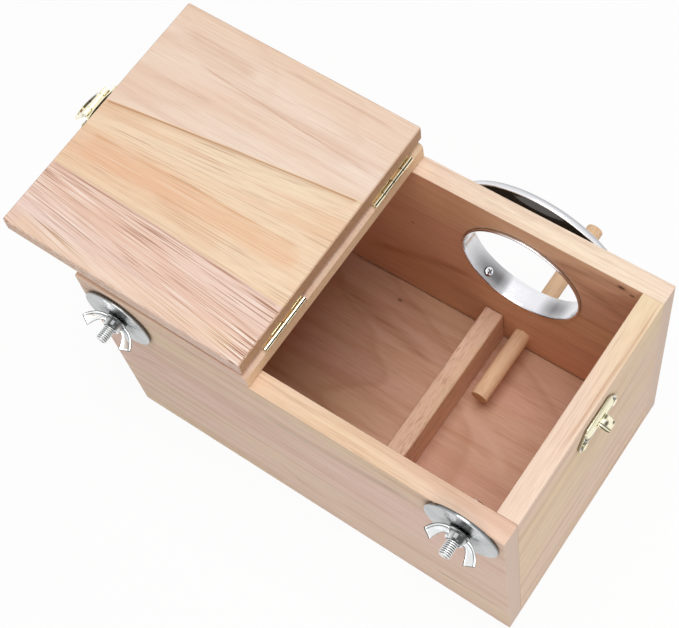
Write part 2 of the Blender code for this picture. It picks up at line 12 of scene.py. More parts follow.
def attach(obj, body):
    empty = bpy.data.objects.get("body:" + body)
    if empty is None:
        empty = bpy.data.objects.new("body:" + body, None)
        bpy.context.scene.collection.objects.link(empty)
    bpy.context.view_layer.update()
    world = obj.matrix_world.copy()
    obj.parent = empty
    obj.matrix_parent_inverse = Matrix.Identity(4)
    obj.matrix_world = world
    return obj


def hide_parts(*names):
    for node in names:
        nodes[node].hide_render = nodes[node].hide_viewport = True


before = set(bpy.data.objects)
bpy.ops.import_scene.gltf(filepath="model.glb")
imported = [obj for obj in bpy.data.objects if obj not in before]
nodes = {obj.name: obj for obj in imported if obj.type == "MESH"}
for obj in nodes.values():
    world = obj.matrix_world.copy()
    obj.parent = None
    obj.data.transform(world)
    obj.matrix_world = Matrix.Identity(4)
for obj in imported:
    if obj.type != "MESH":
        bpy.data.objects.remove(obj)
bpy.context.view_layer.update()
mm = 0.001
scene = bpy.context.scene
print("frame loaded")


# Camera, worked out from the box's edges in the photograph
cameraView = {
    "place": (-192.158, 189.103, 614.734),
    "right": (-0.8127003, -0.5701988, -0.1199649),
    "up": (0.4691653, -0.7624478, 0.4455976),
    "back": (-0.3455462, 0.305854, 0.8871591),
    "lens": 77.258, "sensorWidth": 36, "farthest": 20000,
}


def addCamera(view):
    # The camera's right, up and back directions and its place are the four columns of its matrix.
    camera = bpy.data.objects.new("photoCamera", bpy.data.cameras.new("photoCamera"))
    scene.collection.objects.link(camera)
    camera.data.lens = view["lens"]
    camera.data.sensor_width = view["sensorWidth"]
    columns = [view["right"], view["up"], view["back"], np.array(view["place"]) * mm]
    matrix = Matrix.Identity(4)
    for column, values in enumerate(columns):
        for row in range(3):
            matrix[row][column] = values[row]
    camera.matrix_world = matrix
    camera.data.clip_end = view["farthest"] * mm
    scene.camera = camera


addCamera(cameraView)


# Small helpers for materials

def linear(hexColour):
    # An sRGB hex value as linear red, green, blue and alpha: divided by 12.92 near black, else a power of 2.4.
    part = np.array([int(hexColour[start:start + 2], 16) for start in (1, 3, 5)]) / 255
    straight = np.where(part <= 0.04045, part / 12.92, ((part + 0.055) / 1.055) ** 2.4)
    return (*straight.tolist(), 1.0)


def addNode(tree, kind, inputs=(), stops=(), **settings):
    # One shader node with its settings: an input that is a node or a socket is linked, any other value is set.
    node = tree.nodes.new("ShaderNode" + kind)
    for key, value in settings.items():
        setattr(node, key, value)
    while stops and len(node.color_ramp.elements) < len(stops):
        node.color_ramp.elements.new(0.5)
    for number, (place, colour) in enumerate(stops):
        node.color_ramp.elements[number].position = place
        node.color_ramp.elements[number].color = colour if isinstance(colour, tuple) else (colour, colour, colour, 1)
    for key, value in inputs.items() if isinstance(inputs, dict) else enumerate(inputs):
        value = value.outputs[0] if isinstance(value, bpy.types.Node) else value
        if isinstance(value, bpy.types.NodeSocket):
            tree.links.new(value, node.inputs[key])
        else:
            node.inputs[key].default_value = value
    return node


def newMaterial(name):
    # A named material, with its tree and its shader.
    material = bpy.data.materials.new(name)
    material.use_nodes = True
    tree = material.node_tree
    return material, tree, tree.nodes["Principled BSDF"]


def offCurve(tree, along, across, through):
    # How far a point is across from the parabola or straight line fitted through the given points.
    known = np.array(through, float) * mm
    terms = np.polyfit(known[:, 0], known[:, 1], min(2, len(known) - 1)).tolist()
    bend, slope, level = [0.0] * (3 - len(terms)) + terms
    rising = addNode(tree, "Math", [along, bend, slope], operation="MULTIPLY_ADD")
    curve = addNode(tree, "Math", [along, rising, level], operation="MULTIPLY_ADD")
    return addNode(tree, "Math", [across, curve], operation="SUBTRACT")


def addMark(tree, colour, along, across, mark, breaker, mask):
    # A grain mark: a tone profile across its curve, faded at both ends and broken up by fine noise.
    off = offCurve(tree, along, across, mark["through"])
    reach = max(abs(offset) for offset, tone in mark["profile"])
    crossShare = addNode(tree, "MapRange", [off, -reach * mm, reach * mm])
    stops = [((offset / reach + 1) / 2, tone * mark["depth"]) for offset, tone in mark["profile"]]
    tone = addNode(tree, "ValToRGB", [crossShare], stops=stops)
    start, end = mark["through"][0][0], mark["through"][-1][0]
    fade = (end - start) * mark.get("fade", 0.2)
    rising = addNode(tree, "MapRange", [along, start * mm, (start + fade) * mm], interpolation_type="SMOOTHSTEP")
    falling = addNode(tree, "MapRange", [
        along, (end - fade) * mm, end * mm, 1.0, 0.0], interpolation_type="SMOOTHSTEP")
    length = addNode(tree, "Math", [rising, falling], operation="MULTIPLY")
    broken = addNode(tree, "MapRange", [
        breaker, *woodSteps["breaker"], 1.0 - mark.get("broken", 0.5), 1.0], interpolation_type="SMOOTHSTEP")
    across = addNode(tree, "Math", [tone, length], operation="MULTIPLY")
    shown = addNode(tree, "Math", [broken, mask], operation="MULTIPLY")
    amount = addNode(tree, "Math", [across, shown], operation="MULTIPLY")
    return addNode(tree, "MixRGB", [amount, colour, linear(mark["colour"])])


# Paulownia boards, planed and sanded and left bare. The eye sees a dull pale face with broad pinkish and
# yellowish patches, the arches of the growth rings, and pores cut lengthwise into fine broken lines. Real pores
# are about 0.1 mm wide, too fine for the render, so their lines are drawn 0.4 to 0.8 mm wide. Cut ends are
# darker and speckled.
grainTurn = {"X": (0, 0, 0), "Y": (0, 0, math.radians(-90))}
grainDirection = {"X": (1, 0, 0), "Y": (0, 1, 0)}

# Between which two values of its noise each effect fades in
woodSteps = {
    "broad": (0.34, 0.66), "streak": (0.5, 0.68), "fibre": (0.35, 0.75), "patch": (0.35, 0.62),
    "darkLine": (0.54, 0.66), "paleLine": (0.45, 0.34), "breaker": (0.38, 0.58),
}
woodFinish = {
    "yearProfile": [(0.0, 0.05), (0.45, 0.12), (0.8, 0.5), (0.93, 1.0), (1.0, 0.1)],  # early to late wood
    "ringWander": 1.3, "endFacing": (0.55, 0.95), "topFacing": (0.6, 0.95), "seamHalf": 0.1, "markShift": -0.75,
    "speckPerMetre": 1100.0,  # specks of 0.9 mm, coarser than real pore ends so that they show
    "knotRagged": 2.2, "knotMiddle": 1.1, "roughness": (0.5, 0.7), "lineSink": -0.8, "relief": 0.3,
    "reliefHeight": 0.12, "ior": 1.45, "specular": 0.3,
}


def boardColour(tree, tones, broad, streak):
    # Broad tone from pale through mid to warm, then soft streaks.
    share = addNode(tree, "MapRange", [broad, *woodSteps["broad"]])
    stops = [(0.0, linear(tones["pale"])), (0.5, linear(tones["mid"])), (1.0, linear(tones["warm"]))]
    ground = addNode(tree, "ValToRGB", [share], stops=stops)
    darker = addNode(tree, "MapRange", [
        streak, *woodSteps["streak"], 0.0, tones["streakDepth"]], interpolation_type="SMOOTHSTEP")
    return addNode(tree, "MixRGB", [darker, ground, linear(tones["streak"])])


def sandedBoard(name, look):
    # Tone and streaks, growth rings round a heart off the board, fine dark and pale grain lines, then its marks.
    finish = woodFinish
    material, tree, shader = newMaterial(name)
    place = addNode(tree, "TexCoord")
    source = place.outputs["Object"]
    axes = addNode(tree, "SeparateXYZ", [source])
    shift = [value * mm for value in look["shift"]]
    if "fan" in look:
        # The glued strips open like a fan past the first seam, so the cross coordinate is narrowed and moved.
        fan = look["fan"]
        along = addNode(tree, "Math", [fan["start"] * mm, axes.outputs["X"]], operation="SUBTRACT")
        middle = addNode(tree, "Math", [along, -fan["drift"], fan["middle"] * mm], operation="MULTIPLY_ADD")
        width = addNode(tree, "Math", [along, fan["opening"], 1.0], operation="MULTIPLY_ADD")
        off = addNode(tree, "Math", [axes.outputs["Y"], middle], operation="SUBTRACT")
        fanned = addNode(tree, "Math", [off, width], operation="DIVIDE")
        past = offCurve(tree, axes.outputs["X"], axes.outputs["Y"], look["strips"][0]["seam"])
        beyond = addNode(tree, "Math", [past, 0.0], operation="GREATER_THAN")
        across = addNode(tree, "Mix", {0: beyond, 2: axes.outputs["Y"], 3: fanned})
        source = addNode(tree, "CombineXYZ", {"X": axes.outputs["X"], "Y": across, "Z": axes.outputs["Z"]})
    turned = np.add(grainTurn[look["grain"]], (0, look.get("tilt", 0), 0))
    laid = addNode(tree, "Mapping", {"Vector": source, "Rotation": turned, "Location": shift})

    # Noises drawn out along the grain, each with its cell's length and width in millimetres
    cells = {"line": (look["lineLength"], look["lineWidth"]), "fibre": (9, 0.5), "patch": (45, 8),
             "broad": (130, look.get("broadWidth", 32)), "streak": (120, look.get("streakWidth", 6))}
    noises, vector, waver = {}, laid, look.get("waver", 6) * mm
    for key, (length, width) in cells.items():
        if key == "streak":
            vector = addNode(tree, "VectorMath", [
                noises["broad"].outputs["Color"], (0, waver, waver), laid], operation="MULTIPLY_ADD")
        perMetre = (1000 / length, 1000 / width, 1000 / width)
        cell = addNode(tree, "VectorMath", [vector, perMetre], operation="MULTIPLY")
        noises[key] = addNode(tree, "TexNoise", {"Vector": cell, "Scale": 1.0, "Detail": 1.0})
    line, fibre, patch, broad, streak = noises.values()

    # Growth rings: distance from a heart line that leans through the board, which draws the arches
    heart = addNode(tree, "Mapping", {
        "Vector": vector, "Location": (0, look["heart"][0] * mm, look["heart"][1] * mm),
        "Rotation": (0, look["lean"], look.get("sway", 0))})
    flat = addNode(tree, "VectorMath", [heart, (0, 1, 1)], operation="MULTIPLY")
    distance = addNode(tree, "VectorMath", [flat], operation="LENGTH")
    turns = addNode(tree, "Math", [distance.outputs["Value"], look["ringSpacing"] * mm], operation="DIVIDE")
    uneven = addNode(tree, "Math", [broad, finish["ringWander"], turns], operation="MULTIPLY_ADD")
    year = addNode(tree, "Math", [uneven], operation="FRACT")
    ringTone = addNode(tree, "ValToRGB", [year], stops=finish["yearProfile"])

    # Colours, the board's own first and then the strips of a glued lid
    ground = boardColour(tree, look["tones"], broad, streak)
    depths = {key: look["tones"][key] for key in ("darkDepth", "paleDepth", "ringDepth")}
    for strip in look.get("strips", []):
        off = offCurve(tree, axes.outputs["X"], axes.outputs["Y"], strip["seam"])
        side = addNode(tree, "MapRange", [
            off, -finish["seamHalf"] * mm, finish["seamHalf"] * mm], interpolation_type="SMOOTHSTEP")
        own = boardColour(tree, strip["tones"], broad, streak)
        ground = addNode(tree, "MixRGB", [side, ground, own])
        for key in depths:
            depths[key] = addNode(tree, "Mix", {0: side, 2: depths[key], 3: strip["tones"][key]})
    amount = addNode(tree, "Math", [ringTone, depths["ringDepth"]], operation="MULTIPLY")
    colour = addNode(tree, "MixRGB", [amount, ground, linear(look["ring"])])
    amount = addNode(tree, "MapRange", [
        fibre, *woodSteps["fibre"], 0.0, look["fibreDepth"]], interpolation_type="SMOOTHSTEP")
    colour = addNode(tree, "MixRGB", [amount, colour, linear(look["ring"])])
    patched = addNode(tree, "MapRange", [
        patch, *woodSteps["patch"], look.get("patchLow", 0.3), 1.0], interpolation_type="SMOOTHSTEP")
    drawn = {}
    for key, depth, tone in (("paleLine", "paleDepth", "light"), ("darkLine", "darkDepth", "dark")):
        found = addNode(tree, "MapRange", [line, *woodSteps[key]], interpolation_type="SMOOTHSTEP")
        drawn[key] = addNode(tree, "Math", [found, patched], operation="MULTIPLY")
        amount = addNode(tree, "Math", [drawn[key], depths[depth]], operation="MULTIPLY")
        colour = addNode(tree, "MixRGB", [amount, colour, linear(look[tone])])

    # End grain: darker, and speckled by the cut ends of the pores
    facing = addNode(tree, "VectorMath", [
        place.outputs["Normal"], grainDirection[look["grain"]]], operation="DOT_PRODUCT")
    either = addNode(tree, "Math", [facing.outputs["Value"]], operation="ABSOLUTE")
    endShare = addNode(tree, "MapRange", [either, *finish["endFacing"]], interpolation_type="SMOOTHSTEP")
    speck = addNode(tree, "TexNoise", {"Vector": laid, "Scale": finish["speckPerMetre"], "Detail": 2.0})
    endColour = addNode(tree, "MixRGB", [speck, linear(look["endPale"]), linear(look["endDark"])])
    colour = addNode(tree, "MixRGB", [endShare, colour, endColour])

    # The part of the board that faces the room
    within = 0.0
    if "room" in look:
        size = addNode(tree, "VectorMath", [place.outputs["Object"]], operation="ABSOLUTE")
        parts = addNode(tree, "SeparateXYZ", [size])
        within = 1.0
        for letter, limit in zip("XYZ", look["room"]["half"]):
            inside = addNode(tree, "Math", [parts.outputs[letter], limit * mm], operation="LESS_THAN")
            within = addNode(tree, "Math", [within, inside], operation="MULTIPLY")

    # Marks that this board alone shows, on the face that their letters name
    for mark in look.get("marks", []):
        letters = mark.get("face", look["face"])
        bowed = addNode(tree, "Math", [
            streak, mark.get("waver", 1.5) * mm, finish["markShift"] * mm], operation="MULTIPLY_ADD")
        shaky = addNode(tree, "Math", [axes.outputs[letters[1]], bowed], operation="ADD")
        mask = within if look.get("marksInside") else 1.0
        colour = addMark(tree, colour, axes.outputs[letters[0]], shaky, mark, line, mask)

    # Painted shade: the faces that point up and the sides that face the room are tinted darker than the outer faces
    upward = addNode(tree, "SeparateXYZ", [place.outputs["Normal"]])
    topShare = addNode(tree, "MapRange", [
        upward.outputs["Z"], *finish["topFacing"]], interpolation_type="SMOOTHSTEP")
    colour = addNode(tree, "MixRGB", [
        topShare, colour, linear(look.get("topShadeTint", "#ffffff"))], blend_type="MULTIPLY")
    if "room" in look:
        colour = addNode(tree, "MixRGB", [within, colour, linear(look["room"]["shadeTint"])], blend_type="MULTIPLY")

    # Knots: a ragged dark core in a softer ring
    for knot in look.get("knots", []):
        spot = addNode(tree, "Mapping", {
            "Vector": place.outputs["Object"], "Location": tuple(-value * mm for value in knot["place"])})
        squeezed = addNode(tree, "VectorMath", [spot, knot["squeeze"]], operation="MULTIPLY")
        reach = addNode(tree, "VectorMath", [squeezed], operation="LENGTH")
        ragged = addNode(tree, "Math", [
            fibre, finish["knotRagged"] * mm, reach.outputs["Value"]], operation="MULTIPLY_ADD")
        core = addNode(tree, "MapRange", [
            ragged, (0.3 * knot["size"] + 1) * mm, (knot["size"] + finish["knotMiddle"]) * mm, knot["depth"], 0.0],
            interpolation_type="SMOOTHSTEP")
        colour = addNode(tree, "MixRGB", [core, colour, linear(knot["colour"])])

    # Fibres stand up a little and are rougher, pore lines lie lower
    roughness = addNode(tree, "MapRange", [fibre, 0.0, 1.0, *finish["roughness"]])
    relief = addNode(tree, "Math", [drawn["darkLine"], finish["lineSink"], fibre], operation="MULTIPLY_ADD")
    bump = addNode(tree, "Bump", {
        "Strength": finish["relief"], "Distance": finish["reliefHeight"] * mm, "Height": relief})
    tree.links.new(colour.outputs[0], shader.inputs["Base Color"])
    tree.links.new(roughness.outputs[0], shader.inputs["Roughness"])
    tree.links.new(bump.outputs[0], shader.inputs["Normal"])
    shader.inputs["IOR"].default_value = finish["ior"]
    shader.inputs["Specular IOR Level"].default_value = finish["specular"]
    return material


# Wall boards: pale and close-grained, with soft streaks from pinkish to yellowish
wallTones = {"pale": "#f2d1c2", "mid": "#efd3be", "warm": "#f0d7b8", "streak": "#d9ae94", "streakDepth": 0.42,
             "darkDepth": 0.2, "paleDepth": 0.16, "ringDepth": 0.08}
wallLook = {
    "grain": "X", "face": "XZ", "shift": (0, 0, 0), "heart": (30, 60), "lean": 0.05, "ringSpacing": 6.5,
    "tones": wallTones, "ring": "#c49a78", "dark": "#a3714e", "light": "#fbe9da", "lineLength": 36, "lineWidth": 0.8,
    "fibreDepth": 0.2, "endPale": "#ecd3c2", "endDark": "#dfc3ae", "topShadeTint": "#fffaf6",
}
lineProfile = [(-1.2, 0), (-0.3, 0.8), (0.0, 1.0), (0.3, 0.8), (1.2, 0)]
softProfile = [(-5, 0), (-1.5, 0.7), (0, 1.0), (1.5, 0.7), (5, 0)]
# Painted shade: the sides of the walls that face the room, inside these half sizes, take a darker tint, and wall tops
# a faint one
roomHalf = (91.05, 51.8, 113.7)
frontLook = {
    **wallLook, "shift": (40, 13, 5), "marksInside": True, "room": {"half": roomHalf, "shadeTint": "#f8dccb"},
    "heart": (16, 48), "ringSpacing": 8, "topShadeTint": "#ffffff",
    "tones": {**wallTones, "pale": "#f9dfce", "mid": "#fae3cd", "warm": "#fdebcd", "streakDepth": 0.3,
              "ringDepth": 0.14},
    "marks": [
        # The first mark is painted shade: a broad darker zone over the middle of the wall's room side.
        {"through": [(-40, 88), (20, 68), (85, 52)], "profile": [(-75, 0), (-45, 1.0), (45, 1.0), (75, 0)],
         "colour": "#c58c66", "depth": 0.5, "fade": 0.3, "broken": 0.1},
        {"through": [(-16, 52), (3, 45), (28, 35), (50, 26)], "profile": softProfile,
         "colour": "#a8744f", "depth": 0.5},
        {"through": [(-89, 109), (-68, 106), (-49, 101)], "profile": softProfile, "colour": "#94603f", "depth": 0.6},
        {"through": [(-84, 56), (-65, 49), (-48, 43)], "profile": lineProfile, "colour": "#fbe6d2", "depth": 0.5},
        {"through": [(-90, 84), (-60, 96), (-30, 103)], "profile": softProfile, "colour": "#a06c4a", "depth": 0.4},
    ],
    "knots": [
        {"place": (18.3, -51.8, 69.9), "squeeze": (1, 1, 1), "size": 1.1, "depth": 0.6, "colour": "#5a3420"},
        {"place": (-82.0, -51.8, 109.1), "squeeze": (0.7, 1, 1.2), "size": 2.0, "depth": 0.85, "colour": "#3a1c10"},
        {"place": (-86.7, -51.8, 107.1), "squeeze": (0.8, 1, 1.0), "size": 1.6, "depth": 0.7, "colour": "#3a1c10"},
    ],
}
backLook = {
    **wallLook, "shift": (130, 55, 31), "room": {"half": roomHalf, "shadeTint": "#f8eae0"},
    "marks": [
        {"through": [(-99, 24), (-82, 22), (-61, 19)], "profile": lineProfile, "colour": "#9a7252", "depth": 0.7},
        {"through": [(64, 67), (71, 67), (94, 55)], "profile": lineProfile, "colour": "#a27a5c", "depth": 0.5},
        {"through": [(-10, 25), (6, 25), (19, 40)], "profile": lineProfile, "colour": "#a27a5c", "depth": 0.5},
        {"through": [(-63, 100), (-23, 92), (20, 90)], "profile": softProfile, "colour": "#b99d8a", "depth": 0.5},
        {"through": [(-60, 60), (-10, 64), (50, 56)], "profile": softProfile, "colour": "#d9ac90", "depth": 0.5},
    ],
}
haspEndLook = {
    **wallLook, "grain": "Y", "face": "YZ", "shift": (80, 20, 77), "room": {"half": roomHalf, "shadeTint": "#f8eae0"},
    "tones": {**wallTones, "pale": "#f5d9c3", "mid": "#f5dabe", "warm": "#f6ddb9"}, "topShadeTint": "#ffffff",
    "marks": [
        {"face": "YX", "through": [(-55, -98.2), (-15, -98.8), (25, -97.6)], "profile": lineProfile,
         "colour": "#bd8a62", "depth": 0.5},
        {"through": [(-50, 86), (0, 80), (55, 83)], "profile": softProfile, "colour": "#dcb49c", "depth": 0.5},
    ],
}
nestEndLook = {
    **wallLook, "grain": "Y", "face": "YZ", "shift": (10, 91, 40), "room": {"half": roomHalf, "shadeTint": "#f8eae0"},
}
# The floor's upward faces take a darker tint, as painted shade of the room
floorLook = {
    **wallLook, "face": "XY", "shift": (70, 8, 90), "heart": (-32, 18), "lean": 0.22, "sway": 0.12, "ringSpacing": 12,
    "tones": {**wallTones, "streakDepth": 0.4, "darkDepth": 0.16, "ringDepth": 0.34}, "lineLength": 26, "waver": 12,
    "topShadeTint": "#e6d0c6",
    "marks": [
        {"through": [(-10, -21), (17, -28), (30, -28), (55, -34)], "profile": softProfile,
         "colour": "#a9764f", "depth": 0.5},
        {"through": [(-6, -53), (31, -52), (60, -50)], "profile": lineProfile, "colour": "#8a5a3c", "depth": 0.6},
        {"through": [(-66, 13), (-64, 1), (-46, -5), (-25, -11)], "profile": softProfile,
         "colour": "#fbe6d4", "depth": 0.5},
    ],
    "knots": [{"place": (24.7, -41.9, 6), "squeeze": (0.8, 1, 1), "size": 1.3, "depth": 0.7, "colour": "#5a3420"}],
}
dividerLook = {
    **wallLook, "grain": "Y", "face": "YZ", "shift": (33, 66, 12), "lineLength": 5, "lineWidth": 0.7,
    "tones": {**wallTones, "pale": "#f0cbb4", "mid": "#edc6ad", "warm": "#ebc7a6", "darkDepth": 0.45},
    "fibreDepth": 0.3, "topShadeTint": "#ffffff",
}
# Painted light: the fixed lid's cut ends are lighter than its face, against the shade of the hinged lid above them.
fixedLidLook = {**wallLook, "face": "XY", "shift": (95, 37, 60), "endPale": "#ffe2be", "endDark": "#e6ba90"}

# The hinged lid is glued from three strips, whose seams and tones follow each other like an open fan
hingedLidLook = {
    "grain": "X", "face": "XY", "tilt": 0.0436, "shift": (20, 30, 0), "heart": (24, 33), "lean": 0.16,
    "ringSpacing": 7, "waver": 5, "broadWidth": 20, "streakWidth": 4.5,
    "tones": {"pale": "#f2dcca", "mid": "#efd4bf", "warm": "#eccfb6", "streak": "#e0bda8", "streakDepth": 0.4,
              "darkDepth": 0.14, "paleDepth": 0.16, "ringDepth": 0.10},
    "ring": "#d2a585", "dark": "#9a6a4e", "light": "#fdf2e6", "lineLength": 30, "lineWidth": 0.4, "fibreDepth": 0.14,
    "endPale": "#d6ad8c", "endDark": "#b58a66", "patchLow": 0.4,
    "fan": {"start": 133, "middle": 11.7, "drift": 0.0443, "opening": 4.61},
    "strips": [
        {"seam": [(132, -5.8), (102, -10.2), (75, -13.7), (44, -18.5), (17, -21.4)],
         "tones": {"pale": "#f3dbbd", "mid": "#f1d3b2", "warm": "#eec7a6", "streak": "#e4b593", "streakDepth": 0.4,
                   "darkDepth": 0.38, "paleDepth": 0.2, "ringDepth": 0.10}},
        {"seam": [(132, 28.6), (107, 29.4), (68, 30.0), (32, 31.0), (17, 32.3)],
         "tones": {"pale": "#f0d5c9", "mid": "#edcdbd", "warm": "#eac5b0", "streak": "#deb39d", "streakDepth": 0.35,
                   "darkDepth": 0.95, "paleDepth": 0.7, "ringDepth": 0.05}},
    ],
    "marks": [
        {"through": [(17, -21.4), (44, -18.5), (75, -13.7), (102, -10.2), (132, -5.8)],
         "profile": [(-3, 0), (-0.5, 0), (-0.25, 0.85), (0.25, 0.85), (0.5, 0.35), (3, 0)],
         "colour": "#b07a4c", "depth": 0.85, "fade": 0.02, "waver": 0, "broken": 0.1},
        {"through": [(17, 32.3), (32, 31.0), (68, 30.0), (107, 29.4), (132, 28.6)],
         "profile": [(-2, 0), (-0.3, 0.3), (-0.1, 0.8), (0.3, 0.8), (0.5, 0), (2, 0)],
         "colour": "#a87354", "depth": 0.7, "fade": 0.02, "waver": 0, "broken": 0.3},
        {"through": [(83, -46.2), (99, -47.9), (127, -49.5)], "profile": softProfile,
         "colour": "#cfa384", "depth": 0.55},
        {"through": [(18, -33.6), (28, -34.1), (48, -34.9), (75, -36.3), (92, -39.1), (112, -39.4)],
         "profile": [(-4, 0), (-0.6, 0.35), (-0.15, 1.0), (0.2, 1.0), (0.6, 0), (4, 0)],
         "colour": "#c79a7c", "depth": 0.6, "fade": 0.1},
        {"through": [(20, -55.2), (80, -56.1)], "profile": lineProfile, "colour": "#cb9f84", "depth": 0.6},
        {"through": [(92, -27.2), (125, -24.6)], "profile": lineProfile,
         "colour": "#cfa384", "depth": 0.5, "broken": 0.9},
        {"through": [(24, 8.0), (66, 8.3), (94, 9.3), (128, 10.2)], "fade": 0.05,
         "profile": [(-3, 0), (-0.4, 0), (0, 0.9), (0.6, 0.5), (3, 0)], "colour": "#d79f74", "depth": 0.8},
        {"through": [(20, 14), (70, 14.5), (128, 17)], "profile": [(-6, 0), (-3, 0.9), (0, 1), (3, 0.9), (6, 0)],
         "colour": "#e9b58f", "depth": 0.55, "fade": 0.05},
        {"through": [(48, 24.8), (62, 23.2), (75, 21.2), (90, 18.3)], "profile": softProfile,
         "colour": "#d29c76", "depth": 0.4},
        {"through": [(20, 55), (70, 57), (130, 58)], "profile": [(-6, 0), (-2, 0.9), (0, 1), (2, 0.9), (6, 0)],
         "colour": "#f2d3a4", "depth": 0.3, "fade": 0.05},
    ],
}

# The perch is a birch dowel, turned and sanded: yellower, with short lines along it and darker ends
perchLook = {
    **wallLook, "grain": "Y", "face": "YZ", "shift": (7, 3, 15), "lineLength": 8, "lineWidth": 0.7,
    "tones": {**wallTones, "pale": "#f4d3ae", "mid": "#f3cea8", "warm": "#f1c89f", "streak": "#e0b088"},
    "endPale": "#dcb388", "endDark": "#b98c64", "topShadeTint": "#ffffff",
}


# Metals: a clean base, a cloudy roughness, fine hairlines, and a dark colour that the piece's own shade attribute
# places as painted shade and painted reflections
metalSteps = {"cloud": (0.3, 0.7), "hair": (0.5, 0.7), "shadePatchEdge": (0.8, 1.0), "reliefHeight": 0.02}


def polishedMetal(name, look):
    # The base mixes two tones by the cloud noise, and each dark share then mixes the dark colour over it: the
    # hairlines, and the painted shade and reflections of the shade attribute, the facing lines and the shade patches.
    material, tree, shader = newMaterial(name)
    place = addNode(tree, "TexCoord")
    where, scratchAndShade = place.outputs["Object"], linear(look["scratchAndShade"])
    stretched = addNode(tree, "Mapping", {"Vector": where, "Scale": [1000 / size for size in look["hairline"]]})
    hair = addNode(tree, "TexNoise", {"Vector": stretched, "Scale": 1.0, "Detail": 2.0})
    even = addNode(tree, "Mapping", {"Vector": where, "Scale": (1000 / look["cloud"],) * 3})
    cloud = addNode(tree, "TexNoise", {"Vector": even, "Scale": 1.0, "Detail": 3.0})
    roughness = addNode(tree, "MapRange", [
        cloud, *metalSteps["cloud"], *look["roughness"]], interpolation_type="SMOOTHSTEP")
    colour = addNode(tree, "MixRGB", [cloud, linear(look["bright"]), linear(look["dull"])])
    scratched = addNode(tree, "MapRange", [
        hair, *metalSteps["hair"], 0.0, look["hairDepth"]], interpolation_type="SMOOTHSTEP")
    shade = addNode(tree, "Attribute", attribute_name="shade")
    dark = [scratched, shade.outputs["Fac"]]
    for direction, start, end, depth in look.get("facingShadeLine", []):
        # A painted dark reflection line where the surface faces one direction
        facing = addNode(tree, "VectorMath", [place.outputs["Normal"], direction], operation="DOT_PRODUCT")
        dark.append(addNode(tree, "MapRange", [
            facing.outputs["Value"], start, end, 0.0, depth], interpolation_type="SMOOTHSTEP"))
    for shadePatch in look.get("shadePatches", []):
        # A painted shade patch inside a box of the piece's own space
        centre, half = ([value * mm for value in shadePatch[key]] for key in ("centre", "half"))
        offset = addNode(tree, "VectorMath", [where, centre], operation="SUBTRACT")
        scaled = addNode(tree, "VectorMath", [offset, half], operation="DIVIDE")
        away = addNode(tree, "SeparateXYZ", [addNode(tree, "VectorMath", [scaled], operation="ABSOLUTE")])
        furthest = addNode(tree, "Math", [away.outputs["X"], away.outputs["Y"]], operation="MAXIMUM")
        furthest = addNode(tree, "Math", [furthest, away.outputs["Z"]], operation="MAXIMUM")
        dark.append(addNode(tree, "MapRange", [
            furthest, *metalSteps["shadePatchEdge"], shadePatch["depth"], 0.0], interpolation_type="SMOOTHSTEP"))
    for amount in dark:
        colour = addNode(tree, "MixRGB", [amount, colour, scratchAndShade])
    bump = addNode(tree, "Bump", {
        "Strength": look["relief"], "Distance": metalSteps["reliefHeight"] * mm, "Height": hair})
    tree.links.new(colour.outputs[0], shader.inputs["Base Color"])
    tree.links.new(roughness.outputs[0], shader.inputs["Roughness"])
    tree.links.new(bump.outputs[0], shader.inputs["Normal"])
    shader.inputs["Metallic"].default_value = 1.0
    return material


# Thin steel stamped and brass plated, then polished: pale yellow, near a mirror, with painted shade on its edges and
# in its hollows from each piece's shade attribute
brassLook = {"bright": "#fffcea", "dull": "#f7edc4", "scratchAndShade": "#2e2406", "roughness": (0.10, 0.18), "cloud": 4,
             "relief": 0.15, "hairline": (0.4, 3, 0.4), "hairDepth": 0.03}

# The same plate rolled round the hinge pin, with a painted dark reflection line along the knuckles where they face up
# and toward the hasp end
hingeLook = {**brassLook, "facingShadeLine": [((-0.57, 0, 0.82), 0.965, 0.985, 0.95)]}

# The same plate with painted shade: dark behind the plate and in the loop's bend, where shade falls
haspPlateLook = {**brassLook, "shadePatches": [
    {"centre": (132.9, -2.5, 137), "half": (0.45, 8.8, 2.2), "depth": 0.97},
    {"centre": (133.6, 8.2, 134), "half": (1.6, 2.2, 4.5), "depth": 0.7}]}
haspLoopLook = {**brassLook, "shadePatches": [
    {"centre": (146, -6.5, 126), "half": (3.6, 4.2, 5), "depth": 0.85},
    {"centre": (137.7, -2.5, 135.2), "half": (0.9, 8, 2.6), "depth": 0.9}]}

# Washers punched from sheet steel and barrel zinc plated: grey and satin, faintly clouded
zincLook = {"bright": "#c2c4c5", "dull": "#afb2b3", "scratchAndShade": "#2c2f2f", "roughness": (0.20, 0.30), "cloud": 9,
            "relief": 0.1, "hairline": (1.2, 1.2, 1.2), "hairDepth": 0.02}

# Rolled bolts and cast wing nuts, bright zinc plated: whiter and smoother, with painted shade dark in the threads and
# hollows
boltLook = {"bright": "#f4f5f5", "dull": "#dfe1e1", "scratchAndShade": "#161718", "roughness": (0.12, 0.22), "cloud": 3,
            "relief": 0.2, "hairline": (0.8, 0.8, 0.8), "hairDepth": 0.04}

# Stainless sheet spun on a lathe and buffed: hairlines run round it, drawn 0.25 mm wide, coarser than the real
# ones so that they show, over the soft dark bands of painted reflection that the ring's shade attribute places
stainlessLook = {"bright": "#f8f8fb", "dull": "#e6e6ec", "scratchAndShade": "#3a332c", "roughness": (0.12, 0.20), "cloud": 9,
                 "relief": 0.3, "hairline": (30, 0.25, 30), "hairDepth": 0.08}

